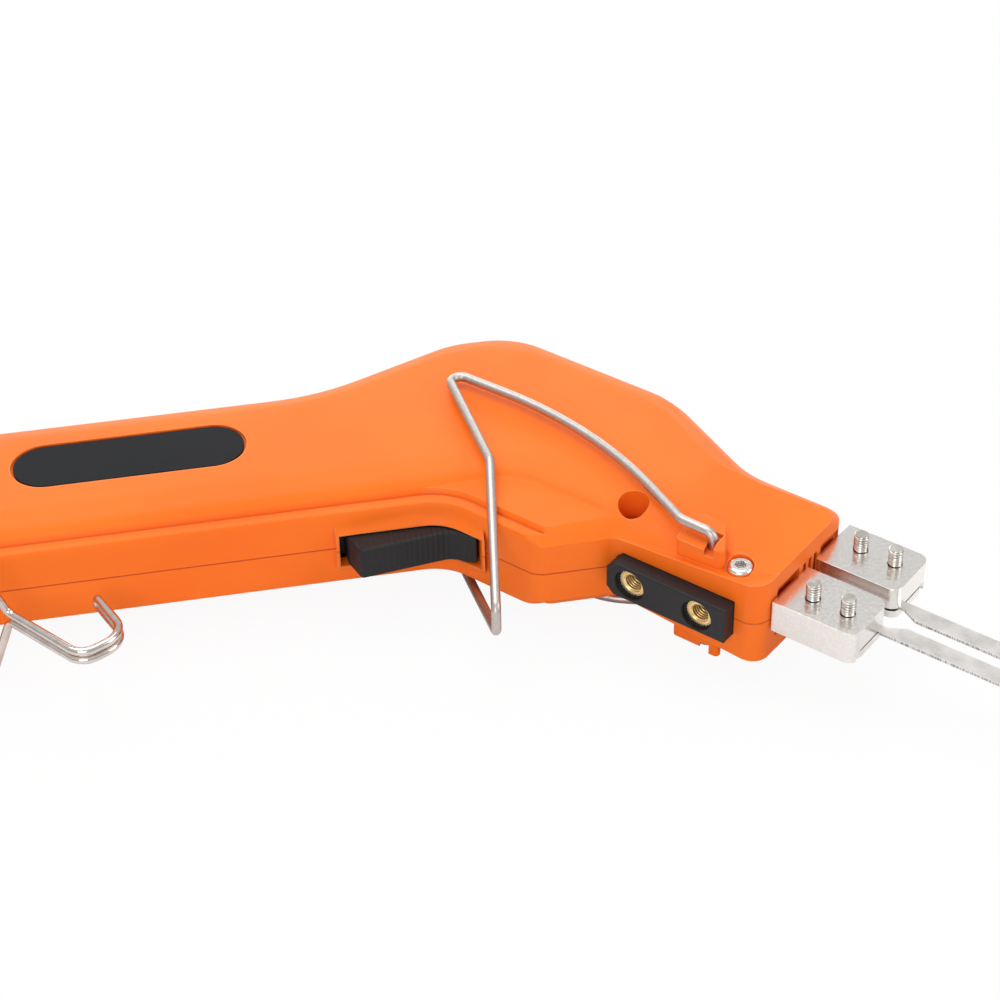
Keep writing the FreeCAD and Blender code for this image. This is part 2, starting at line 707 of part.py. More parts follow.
def build_clamp(side):
    """Steel clamp block with a cheek on its outer side, and the plate it holds the blade with."""
    name = side_name(side)
    body = new_body(name + "_clamp_body")
    outline = sketch_on(body, "XY_Plane", name + "_clamp_outline", "sizes.clamp_bottom")
    low, high = side_span(side, "sizes.clamp_inner", "sizes.clamp_outer")
    bound_rectangle(outline, "sizes.clamp_start", "sizes.clamp_end", low, high)
    pad(body, outline, "sizes.clamp_top - sizes.clamp_bottom", name + "_clamp_pad")
    end = size("clamp_end")

    def front_corner(edge):
        return runs_along(edge, Z_AXIS) and abs(edge.CenterOfMass.x - end) < 0.01

    dress(body, "Fillet", front_corner, size("clamp_corner"), name + "_clamp_corners")
    step = sketch_on(body, "XY_Plane", name + "_clamp_step", "sizes.clamp_bottom")
    low, high = side_span(side, "sizes.clamp_inner - 1", "sizes.clamp_outer - sizes.clamp_cheek")
    bound_rectangle(step, "2", "sizes.clamp_end + 1", low, high)
    pocket(body, step, "sizes.plate_thick + sizes.blade_thick", name + "_clamp_seat", backwards=True)
    seat = sketch_on(body, "YZ_Plane", name + "_bar_seat", "sizes.clamp_start")
    low, high = side_span(side, "sizes.opening_centre - sizes.bar_strip",
                          "sizes.opening_centre + sizes.bar_strip")
    bound_rectangle(seat, low, high, "sizes.bar_low", "sizes.bar_high")
    pocket(body, seat, "5", name + "_bar_socket", backwards=True)
    for index in range(2):
        hole = sketch_on(body, "XY_Plane", "%s_clamp_hole_%d" % (name, index), "sizes.clamp_bottom")
        bound_circle(hole, "sizes.screw_first + %d * sizes.screw_pitch" % index,
                     "%d * sizes.screw_side" % side, "sizes.screw_radius + 0.05")
        pocket(body, hole, "sizes.clamp_top - sizes.clamp_bottom + 1",
               "%s_clamp_drill_%d" % (name, index), backwards=True)
    keep(body, name + "_clamp_block", head_frame())
    plate = new_body(name + "_plate_body")
    outline = sketch_on(plate, "XY_Plane", name + "_plate_outline", "sizes.clamp_bottom")
    low, high = side_span(side, "sizes.clamp_inner + 0.2", "sizes.clamp_outer - sizes.clamp_cheek - 0.2")
    bound_rectangle(outline, "2.2", "sizes.clamp_end - 0.1", low, high)
    pad(plate, outline, "sizes.plate_thick", name + "_plate_pad")

    def plate_corner(edge):
        return runs_along(edge, Z_AXIS) and edge.CenterOfMass.x > end - 1

    dress(plate, "Fillet", plate_corner, 2.6, name + "_plate_corners")
    for index in range(2):
        hole = sketch_on(plate, "XY_Plane", "%s_plate_hole_%d" % (name, index), "sizes.clamp_bottom")
        bound_circle(hole, "sizes.screw_first + %d * sizes.screw_pitch" % index,
                     "%d * sizes.screw_side" % side, "sizes.screw_radius + 0.2")
        pocket(plate, hole, "sizes.plate_thick + 1", "%s_plate_drill_%d" % (name, index),
               backwards=True)
    keep(plate, name + "_clamp_plate", head_frame())


def build_clamp_screws():
    """Four machine screws, heads under the plates and plain ends above the blocks."""
    screws = []
    bottom = size("clamp_bottom")
    radius = size("screw_radius")
    top = size("clamp_top") + size("screw_stand")
    for side in (-1, 1):
        for index in range(2):
            along = size("screw_first") + index * size("screw_pitch")
            across = side * size("screw_side")
            shank = post(along, across, radius, bottom, top)
            shank = shank.makeChamfer(0.35, [e for e in shank.Edges
                                             if abs(e.BoundBox.ZMin - top) < 0.01
                                             and e.Curve.TypeId == "Part::GeomCircle"])
            head = post(along, across, 3.8, bottom - 2.9, bottom)
            head = head.makeFillet(1.1, [e for e in head.Edges
                                         if abs(e.BoundBox.ZMax - bottom + 2.9) < 0.01
                                         and e.Curve.TypeId == "Part::GeomCircle"])
            slots = [block(along - 1.9, along + 1.9, across - 0.45, across + 0.45,
                           bottom - 4, bottom - 1.6),
                     block(along - 0.45, along + 0.45, across - 1.9, across + 1.9,
                           bottom - 4, bottom - 1.6)]
            screws.append(shank.fuse(head).cut(slots))
    keep_shape(Part.makeCompound(screws), "clamp_screws", head_frame())


def build_blade():
    """Hairpin blade cut from flat strip, with wider roots inside the clamps."""
    low = size("clamp_bottom") + size("plate_thick")
    thick = size("blade_thick")
    half = size("blade_half")
    gap = size("blade_gap_half")
    start = size("clamp_end")
    root = size("blade_root_half")
    tip = start + size("blade_length") - half
    taper = start + 1.2 + size("blade_taper")
    outer_arc = Part.Arc(Vector(tip, -half, low), Vector(tip + half, 0, low),
                         Vector(tip, half, low)).toShape()
    upper = Part.makePolygon([
        Vector(tip, half, low), Vector(start - 1, half, low), Vector(start - 1, 15.5, low),
        Vector(4.5, 15.5, low), Vector(4.5, root, low), Vector(start + 1.2, root, low),
        Vector(taper, gap, low), Vector(tip, gap, low)])
    inner_arc = Part.Arc(Vector(tip, gap, low), Vector(tip + gap, 0, low),
                         Vector(tip, -gap, low)).toShape()
    lower = Part.makePolygon([
        Vector(tip, -gap, low), Vector(taper, -gap, low), Vector(start + 1.2, -root, low),
        Vector(4.5, -root, low), Vector(4.5, -15.5, low), Vector(start - 1, -15.5, low),
        Vector(start - 1, -half, low), Vector(tip, -half, low)])
    edges = upper.Edges + [inner_arc] + lower.Edges + [outer_arc]
    strip = Part.Face(Part.Wire(Part.__sortEdges__(edges))).extrude(Vector(0, 0, thick))
    holes = []
    for side in (-1, 1):
        for index in range(2):
            holes.append(post(size("screw_first") + index * size("screw_pitch"),
                              side * size("screw_side"), size("screw_radius") + 0.15,
                              low - 1, low + thick + 1))
    keep_shape(strip.cut(holes), "blade", head_frame())


def build_secondary():
    """One heavy copper turn round the coil, its ends running forward into the clamps."""
    strap = size("strap_thick")
    across = size("core_leg") + size("bobbin_wall") + size("coil_build") + 0.3
    below = size("core_stack") + size("bobbin_wall") + size("coil_build") + 0.2
    rear = size("core_rear") + 14.0
    front = size("core_front") - 14.0
    riser = size("core_front") + 1.5
    jog = -33.0
    bar_low = size("bar_low")
    bar_high = size("bar_high")
    bar_inner = size("opening_centre") - size("bar_strip")
    bar_outer = size("opening_centre") + size("bar_strip")
    pieces = [block(rear, front, -across - strap, across + strap, -below - strap, -below)]
    for side in (-1, 1):
        def strip(start, end, inner, outer, low, high):
            ends = sorted((side * inner, side * outer))
            pieces.append(block(start, end, ends[0], ends[1], low, high))
        strip(rear, front, across, across + strap, -below - strap, 12.0)
        strip(rear, riser + 2.5, across, across + strap, 8.4, 12.0)
        strip(riser, riser + 2.5, 3.0, across + strap, bar_low, 12.0)
        strip(riser, jog + 5, 3.0, 9.0, bar_low, bar_high)
        strip(jog, jog + 5, 3.0, bar_outer, bar_low, bar_high)
        strip(jog, size("clamp_start") + 5, bar_inner, bar_outer, bar_low, bar_high)
    keep_shape(pieces[0].multiFuse(pieces[1:]).removeSplitter(), "secondary_winding", head_frame())


def build_front_insulator():
    """Heat resistant block in the nose that carries the two bars."""
    centre = size("opening_centre")
    half = size("bar_strip") + 0.05
    piece = block(-11.0, -2.6, -14.8, 14.8, -4.2, 7.4)
    for side in (-1, 1):
        piece = piece.cut(block(-12, 0, side * centre - half, side * centre + half,
                                size("bar_low") - 0.05, size("bar_high") + 0.05))
    keep_shape(piece, "front_insulator", head_frame())


def build_transformer():
    """Laminated E and I core, coil former and primary coil."""
    rear = size("core_rear")
    front = size("core_front")
    half = size("core_half")
    leg = size("core_leg")
    stack = size("core_stack")
    core = block(rear, front, -half, half, -stack, stack)
    window_rear = rear + leg
    window_front = front - leg
    for side in (-1, 1):
        low = leg if side > 0 else -2 * leg
        core = core.cut(block(window_rear, window_front, low, low + leg, -stack - 1, stack + 1))
    keep_shape(core, "transformer_core", head_frame())
    wall = size("bobbin_wall")
    gap = 0.1
    inner_y = leg + gap
    inner_z = stack + gap
    flange = wall + size("coil_build")
    former = block(window_rear + gap, window_front - gap, -inner_y - wall, inner_y + wall,
                   -inner_z - wall, inner_z + wall)
    for start in (window_rear + gap, window_front - gap - wall):
        former = former.fuse(block(start, start + wall, -inner_y - flange, inner_y + flange,
                                   -inner_z - flange, inner_z + flange))
    former = former.cut(block(rear, front, -inner_y, inner_y, -inner_z, inner_z))
    keep_shape(former, "coil_former", head_frame())
    build = size("coil_build") - 0.1
    start = window_rear + gap + wall
    end = window_front - gap - wall
    base_y = inner_y + wall
    base_z = inner_z + wall
    coil = block(start, end, -base_y - build, base_y + build, -base_z - build, base_z + build)
    coil = coil.makeFillet(1.8, [e for e in coil.Edges if runs_along(e, X_AXIS)])
    coil = coil.cut(block(start - 1, end + 1, -base_y, base_y, -base_z, base_z))
    keep_shape(coil, "primary_winding", head_frame())


# Trigger group

def build_trigger():
    """Rocking paddle in the underside opening, wider at the free end."""
    half = size("trigger_half")
    profile = [
        (91.0, -8.3, 1.2), (114.6, -5.0, 6.0), (121.3, -8.4, 0.6), (121.3, -2.0, 1.0),
        (120.4, 4.8, 2.0), (104.0, 6.4, 4.0), (92.0, 6.2, 1.5), (84.6, 4.6, 0.5), (84.6, 2.8, 0.5),
        (88.2, 2.7, 0.5), (88.6, -2.0, 1.0),
    ]
    solid = prism(profile, -half, half)
    low = [e for e in solid.Edges if abs(abs(e.CenterOfMass.z) - half) < 0.01
           and e.CenterOfMass.y < -3.5 and e.CenterOfMass.x < 119.0]
    solid = solid.makeFillet(0.9, low)
    hole = post(size("trigger_pivot_x"), size("trigger_pivot_y"),
                size("trigger_pin") + 0.06, -10, 10)
    keep_shape(solid.cut(hole), "trigger", handle_frame())
    pin = doc.addObject("Part::Cylinder", "trigger_pin_solid")
    pin.setExpression("Radius", "sizes.trigger_pin - 0.02")
    pin.Height = 18.8
    place = Vector(size("trigger_pivot_x"), size("trigger_pivot_y"), -9.4)
    keep(pin, "trigger_pin", Placement(place, Rotation()))


def build_switch():
    """Snap-action switch above the trigger, with its own moving button."""
    low_x = size("switch_x")
    low_y = size("switch_y")
    length = size("switch_length")
    depth = size("switch_depth")
    half = size("switch_half")
    case = block(low_x, low_x + length, low_y, low_y + depth, -half, half)
    case = case.makeFillet(0.8, [e for e in case.Edges if runs_along(e, Z_AXIS)])
    holes = [post(low_x + 2.9, low_y + 3.2, 1.55, -half - 1, half + 1),
             post(low_x + length - 2.9, low_y + depth - 3.2, 1.55, -half - 1, half + 1)]
    button_x = size("button_x")
    holes.append(block(button_x - 2.05, button_x + 2.05, low_y - 1, low_y + 5.0, -1.85, 1.85))
    case = case.cut(holes)
    tabs = [block(low_x + place, low_x + place + 6.3, low_y + depth, low_y + depth + 6.5, -0.4, 0.4)
            for place in (2.0, 11.0, 19.5)]
    keep_shape(case.fuse(tabs), "microswitch", handle_frame())
    top = trigger_top(button_x)
    button = block(button_x - 2.0, button_x + 2.0, top + 0.05, low_y + 1.6, -1.8, 1.8)
    button = button.makeFillet(0.7, [e for e in button.Edges if runs_along(e, Z_AXIS)
                                     and e.CenterOfMass.y < low_y])
    keep_shape(button, "switch_button", handle_frame())


def trigger_top(place):
    """Height of the trigger's upper face at a place along the handle."""
    return 6.4 if place > 92.0 else 6.2


# Wire pieces: straight runs joined by tangent arcs, swept with a round section

def wire_path(corners):
    """Lines and arcs through corner points (x, y, z, bend radius)."""
    points = [Vector(*corner[:3]) for corner in corners]
    edges = []
    start = points[0]
    for index in range(1, len(points) - 1):
        back = (points[index - 1] - points[index]).normalize()
        ahead = (points[index + 1] - points[index]).normalize()
        half = math.acos(max(-1.0, min(1.0, back.dot(ahead)))) / 2
        radius = corners[index][3]
        trim = radius / math.tan(half)
        centre = points[index] + (back + ahead).normalize() * (radius / math.sin(half))
        middle = centre + (points[index] - centre).normalize() * radius
        first = points[index] + back * trim
        last = points[index] + ahead * trim
        if (first - start).Length > 1e-3:
            edges.append(Part.LineSegment(start, first).toShape())
        edges.append(Part.Arc(first, middle, last).toShape())
        start = last
    edges.append(Part.LineSegment(start, points[-1]).toShape())
    return Part.Wire(edges)


def bent_wire(corners, radius):
    """A round wire along a path."""
    path = wire_path(corners)
    start = Vector(*corners[0][:3])
    direction = (Vector(*corners[1][:3]) - start).normalize()
    section = Part.Wire([Part.makeCircle(radius, start, direction)])
    shape = path.makePipeShell([section], True, False)
    expected = math.pi * radius ** 2 * path.Length
    print("wire: length %.1f, volume %.1f of %.1f" % (path.Length, shape.Volume, expected))
    return shape


def bail_corners():
    """The stand's wire from its right end, round the apex, to its left end."""
    side = size("bail_side")
    pivot_x = size("bail_pivot_x")
    pivot_y = size("bail_pivot_y")
    arm = [
        (pivot_x, pivot_y, 10.2, 0.0),
        (pivot_x, pivot_y, side, 2.2),
        (169.2, -28.8, side, 4.5),
        (156.3, 13.7, side, 118.0),
        (122.4, 47.8, side, 2.6),
        (127.2, 5.0, side, 4.0),
        (120.9, -36.4, 3.7, 2.3),
    ]
    twist = size("bail_twist")
    other = [
        (120.9, -36.4, -3.7, 2.3),
        (127.2 - twist, 5.0, -side, 4.0),
        (122.4 - twist, 46.3, -side, 2.6),
        (150.5, -13.0, -side, 24.0),
        (168.4, -18.6, -side, 4.5),
        (pivot_x, pivot_y, -side, 2.2),
        (pivot_x, pivot_y, -10.2, 0.0),
    ]
    return arm + other


def hook_corners():
    """The hanging hook's wire: two legs that meet side by side and end in a narrow turn."""
    side = size("hook_side")
    pair = size("hook_pair")
    pivot_x = size("hook_pivot_x")
    pivot_y = size("hook_pivot_y")
    leg = [
        (pivot_x, pivot_y, 10.2, 0.0),
        (pivot_x, pivot_y, side, 2.2),
        (-4.5, -10.0, side, 3.0),
        (2.0, -10.2, pair, 2.6),
        (19.0, -30.2, pair, 5.0),
        (30.5, -24.0, pair, 6.6),
        (24.0, -8.6, pair, pair - 0.01),
    ]
    return leg + [(x, y, -z, radius) for x, y, z, radius in leg[::-1]]


def build_wires():
    keep_shape(bent_wire(bail_corners(), size("bail_wire")), "bail_stand", handle_frame())
    keep_shape(bent_wire(hook_corners(), size("hook_wire")), "hanging_hook", handle_frame())


# Cable inlet and the pieces behind it

def build_inlet():
    """Rubber inlet bush seated in the rear wall, the cord clamp and the terminal block."""
    rear = size("handle_rear")
    gland_y = size("gland_y")
    wall = size("wall")
    radius = size("gland_radius")
    neck = radius - 1.65
    out = size("gland_out")
    stations = [
        (-out, size("gland_bore")), (-out, 5.0), (-1.6, radius - 0.6), (-0.1, radius),
        (-0.1, neck), (wall + 0.1, neck), (wall + 0.1, radius), (size("gland_in"), radius - 1.0),
        (size("gland_in"), size("gland_bore")), (-out, size("gland_bore")),
    ]
    profile = Part.makePolygon([Vector(rear + along, gland_y + away, 0) for along, away in stations])
    bush = Part.Face(profile).revolve(Vector(rear, gland_y, 0), X_AXIS, 360)
    keep_shape(Part.Solid(bush.Shells[0]) if not bush.Solids else bush.Solids[0],
               "cable_inlet_bush", handle_frame())
    middle = -22.0
    places = [gland_y + side * 8.5 for side in (-1, 1)]
    clamp = block(middle - 4, middle + 4, gland_y - 11.5, gland_y + 11.5, 3.6, 7.2)
    saddle = Part.makeCylinder(3.8, 10, Vector(middle - 5, gland_y, 2.6), X_AXIS)
    clamp = clamp.cut([saddle] + [post(middle, y, 1.6, 0, 10) for y in places])
    keep_shape(clamp, "cord_clamp", handle_frame())
    base = block(middle - 5, middle + 5, gland_y - 11.5, gland_y + 11.5, -13.2, -9.2)
    base = base.fuse([post(middle, y, 3.2, -9.3, 3.5) for y in places])
    base = base.cut([post(middle, y, 1.43, -7, 5) for y in places])
    keep_shape(base, "cord_clamp_base", handle_frame())
    screws = [pan_screw(middle, y, 7.25, 2.6, 1.4, 12.0) for y in places]
    keep_shape(Part.makeCompound(screws), "cord_clamp_screws", handle_frame())
    strip = block(2, 26, 24, 38, -13.2, -3.2)
    holes = []
    for index in range(2):
        x = 8.0 + index * 12.0
        holes.append(Part.makeCylinder(2.0, 20, Vector(x, 21, -8.4), Y_AXIS))
        holes += [post(x, 24 + place, 1.7, -8.4, 0) for place in (3.5, 10.5)]
    keep_shape(strip.cut(holes), "terminal_block", handle_frame())


def build_leads():
    """Internal leads from the terminals to the switch and on to the primary coil."""
    radius = 1.0
    routes = [
        [(20, 38.3, -8.4, 0), (20, 42.6, -8.4, 3.0), (60, 42.2, -8.4, 8.0), (75, 38, -4.0, 5.0),
         (89.2, 41.5, 0.0, 2.5), (89.2, 37.6, 0.0, 0)],
        [(97.9, 37.6, 0, 0), (97.9, 43.0, 0.0, 4.0), (113, 43.0, 9.6, 5.0), (141.4, 33.2, 9.6, 0)],
        [(8, 38.3, -8.4, 0), (8, 46.4, -8.4, 5.0), (88, 46.6, -8.4, 10.0), (116, 48.5, 9.6, 8.0),
         (144.4, 36.2, 9.6, 0)],
    ]
    leads = [bent_wire(route, radius) for route in routes]
    keep_shape(Part.makeCompound(leads), "internal_leads", handle_frame())


def stand_on_origin():
    """Move every sub-part so that the middle of the box's underside is the origin."""
    box = FreeCAD.BoundBox()
    for item in finished:
        box.add(item.Shape.optimalBoundingBox(False, False))
    shift = Vector(-(box.XMin + box.XMax) / 2, -(box.YMin + box.YMax) / 2, -box.ZMin)
    for item in finished:
        item.Placement = Placement(shift, Rotation()).multiply(item.Placement)
    print("origin shift %.4f %.4f %.4f" % tuple(shift))
    print("box %.1f x %.1f x %.1f" % (box.XLength, box.YLength, box.ZLength))


def write_parts():
    """Check every object and every sub-part's shape, then write the files."""
    doc.recompute()
    for item in doc.Objects:
        if "Invalid" in item.State or "Error" in item.State:
            raise RuntimeError("%s is in state %s" % (item.Name, item.State))
    for item in finished:
        if item.Shape.isNull() or not item.Shape.isValid():
            raise RuntimeError(item.Label + " has no valid shape")
    os.makedirs("parts", exist_ok=True)
    for item in finished:
        item.Shape.exportStep(os.path.join("parts", item.Label + ".step"))
        print("%-20s solids %d volume %9.1f" % (item.Label, len(item.Shape.Solids), item.Shape.Volume))


build_housing()
build_accessory_bar()
build_inserts()
for clamp_side in (-1, 1):
    build_clamp(clamp_side)
build_clamp_screws()
build_blade()
build_secondary()
build_front_insulator()
build_transformer()
build_trigger()
build_switch()
build_wires()
build_inlet()
build_leads()
doc.recompute()
stand_on_origin()
write_parts()
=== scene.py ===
"""Looks of the electric hot knife: finishes, fine forms, studio and camera."""

import json
import logging
import math
from collections.abc import Callable, Iterable, Sequence
from dataclasses import dataclass
from enum import Enum

import bmesh
import bpy
from mathutils import Matrix, Vector

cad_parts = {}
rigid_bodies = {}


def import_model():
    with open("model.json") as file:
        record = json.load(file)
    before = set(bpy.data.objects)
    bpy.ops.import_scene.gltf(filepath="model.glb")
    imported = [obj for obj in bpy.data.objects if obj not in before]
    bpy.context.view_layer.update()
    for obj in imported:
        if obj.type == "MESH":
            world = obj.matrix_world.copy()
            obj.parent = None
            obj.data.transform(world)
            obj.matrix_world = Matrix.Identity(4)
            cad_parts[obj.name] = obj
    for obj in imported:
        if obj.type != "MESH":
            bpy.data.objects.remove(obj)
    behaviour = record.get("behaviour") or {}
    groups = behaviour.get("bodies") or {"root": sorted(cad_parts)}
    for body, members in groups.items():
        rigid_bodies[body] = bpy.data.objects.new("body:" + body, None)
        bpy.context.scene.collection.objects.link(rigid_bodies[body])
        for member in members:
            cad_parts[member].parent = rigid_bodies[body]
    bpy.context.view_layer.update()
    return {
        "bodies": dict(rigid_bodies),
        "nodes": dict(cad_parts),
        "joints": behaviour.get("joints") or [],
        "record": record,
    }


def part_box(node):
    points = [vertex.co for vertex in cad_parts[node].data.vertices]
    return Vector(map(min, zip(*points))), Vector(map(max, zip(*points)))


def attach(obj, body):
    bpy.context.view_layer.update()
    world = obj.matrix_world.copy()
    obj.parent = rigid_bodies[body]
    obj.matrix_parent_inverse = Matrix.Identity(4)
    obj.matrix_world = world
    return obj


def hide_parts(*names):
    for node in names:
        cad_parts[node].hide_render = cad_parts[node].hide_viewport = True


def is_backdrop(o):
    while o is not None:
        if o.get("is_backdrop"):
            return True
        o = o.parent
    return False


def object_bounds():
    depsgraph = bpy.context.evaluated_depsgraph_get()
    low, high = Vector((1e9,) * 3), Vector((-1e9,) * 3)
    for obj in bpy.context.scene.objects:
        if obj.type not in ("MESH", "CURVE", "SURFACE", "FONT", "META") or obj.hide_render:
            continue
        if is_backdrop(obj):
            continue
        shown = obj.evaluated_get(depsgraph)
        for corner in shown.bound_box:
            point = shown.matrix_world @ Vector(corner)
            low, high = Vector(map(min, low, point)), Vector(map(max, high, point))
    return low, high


LOG = logging.getLogger("hot_knife")
MM = 0.001
# The flat side of the grip above the parting plane, and that plane above the row's floor, in mm.
SIDE_HEIGHT = 16.0
SEAM_HEIGHT = 19.75
# Faces that meet at more than these angles keep a sharp edge.
TURNED_LIMIT_DEGREES = 30.0
PIECE_LIMIT_DEGREES = 32.0
WIRE_LIMIT_DEGREES = 50.0
# Loose triangles' corners closer than this are one corner.
MERGE_MM = 0.002
Colour = tuple[float, float, float, float]


def linear(red: float, green: float, blue: float) -> Colour:
    """Turn a screen colour, 0 to 255, into the linear colour that shaders use.

    Args:
        red, green, blue: the screen colour's channels.

    Returns:
        The linear colour with full alpha.
    """
    def channel(value: float) -> float:
        """One channel's linear value."""
        share = value / 255.0
        return share / 12.92 if share <= 0.04045 else ((share + 0.055) / 1.055) ** 2.4
    return (channel(red), channel(green), channel(blue), 1.0)


# Working frames: the same two that the solids are drawn in

@dataclass(frozen=True)
class WorkFrames:
    """The handle frame and the head frame of the tool, in millimetres."""

    shift: Vector
    bend_degrees: float = 47.0
    head_x: float = 201.0
    head_y: float = -36.7

    @classmethod
    def from_pin(cls, pin_x: float = 118.0, pin_y: float = 1.6) -> "WorkFrames":
        """Find the frames from the trigger's pin, whose place in the handle frame is known.

        Args:
            pin_x, pin_y: the pin's axis in the handle frame.

        Returns:
            The frames.
        """
        low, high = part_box("trigger_pin")
        middle = (low + high) / 2 / MM
        return cls(shift=middle - Vector((pin_x, pin_y, 0.0)))

    def handle(self, x: float, y: float, z: float = 0.0) -> Vector:
        """A handle frame point in the row frame, in metres."""
        return (Vector((x, y, z)) + self.shift) * MM

    def head(self, along: float, across: float, height: float = 0.0) -> Vector:
        """A head frame point in the row frame, in metres."""
        along_axis, across_axis = self.head_axes()
        place = along_axis * along + across_axis * across
        return self.handle(self.head_x + place.x, self.head_y + place.y, height)

    def head_axes(self) -> tuple[Vector, Vector]:
        """Directions of the head's length and of its back, in the row frame."""
        bend = math.radians(self.bend_degrees)
        return (Vector((math.cos(bend), -math.sin(bend), 0.0)),
                Vector((math.sin(bend), math.cos(bend), 0.0)))

    def seat(self, origin: Vector, x_axis: Vector, z_axis: Vector) -> Matrix:
        """The matrix that sets a piece drawn in millimetres round its own origin into the row.

        Args:
            origin: where its origin lands, in metres.
            x_axis, z_axis: where its X and Z point.

        Returns:
            The matrix, scale included.
        """
        y_axis = z_axis.cross(x_axis)
        turn = Matrix((x_axis, y_axis, z_axis)).transposed().to_4x4()
        return Matrix.Translation(origin) @ turn @ Matrix.Scale(MM, 4)


# Node tools

class Channel:
    """A socket that can be used in arithmetic. Each operator adds a Math node."""

    def __init__(self, graph: "Graph", socket: bpy.types.NodeSocket) -> None:
        """Wrap a socket of the graph's tree."""
        self.graph = graph
        self.socket = socket

    def _math(self, operation: str, first: object, second: object = 0.0) -> "Channel":
        """Add a Math node with two operands."""
        node = self.graph.add("ShaderNodeMath", {"operation": operation}, {0: first, 1: second})
        return Channel(self.graph, node.outputs[0])

    def __add__(self, other: object) -> "Channel":
        """Sum."""
        return self._math("ADD", self, other)

    __radd__ = __add__

    def __sub__(self, other: object) -> "Channel":
        """Difference."""
        return self._math("SUBTRACT", self, other)

    def __rsub__(self, other: object) -> "Channel":
        """Difference with the number first."""
        return self._math("SUBTRACT", other, self)

    def __mul__(self, other: object) -> "Channel":
        """Product."""
        return self._math("MULTIPLY", self, other)

    __rmul__ = __mul__

    def __truediv__(self, other: object) -> "Channel":
        """Quotient."""
        return self._math("DIVIDE", self, other)

    def __rtruediv__(self, other: object) -> "Channel":
        """Quotient with the number first."""
        return self._math("DIVIDE", other, self)

    def __pow__(self, other: object) -> "Channel":
        """Power."""
        return self._math("POWER", self, other)

    def __abs__(self) -> "Channel":
        """Size without sign."""
        return self._math("ABSOLUTE", self)

    def sine(self) -> "Channel":
        """Sine of the value in radians."""
        return self._math("SINE", self)

    def limit(self, low: float, high: float) -> "Channel":
        """Keep the value between two limits."""
        return self._math("MINIMUM", self._math("MAXIMUM", self, low), high)


class Graph:
    """A node tree and the one way in which nodes are added to it."""

    def __init__(self, tree: bpy.types.NodeTree) -> None:
        """Keep the tree."""
        self.tree = tree

    def add(self, kind: str, settings: dict | None = None,
            inputs: dict | None = None) -> bpy.types.Node:
        """Add a node.

        Args:
            kind: the node's type.
            settings: attributes that are set before the sockets.
            inputs: values, sockets or channels by socket name or index.

        Returns:
            The node.
        """
        node = self.tree.nodes.new(kind)
        for key, value in (settings or {}).items():
            setattr(node, key, value)
        for key, value in (inputs or {}).items():
            if isinstance(value, Channel):
                self.tree.links.new(value.socket, node.inputs[key])
            elif isinstance(value, bpy.types.NodeSocket):
                self.tree.links.new(value, node.inputs[key])
            else:
                node.inputs[key].default_value = value
        return node

    def split(self, vector: bpy.types.NodeSocket) -> tuple[Channel, Channel, Channel]:
        """The three components of a vector."""
        node = self.add("ShaderNodeSeparateXYZ", {}, {0: vector})
        return tuple(Channel(self, socket) for socket in node.outputs)

    def gather(self, x: object, y: object, z: object) -> bpy.types.NodeSocket:
        """A vector from three components."""
        return self.add("ShaderNodeCombineXYZ", {}, {0: x, 1: y, 2: z}).outputs[0]


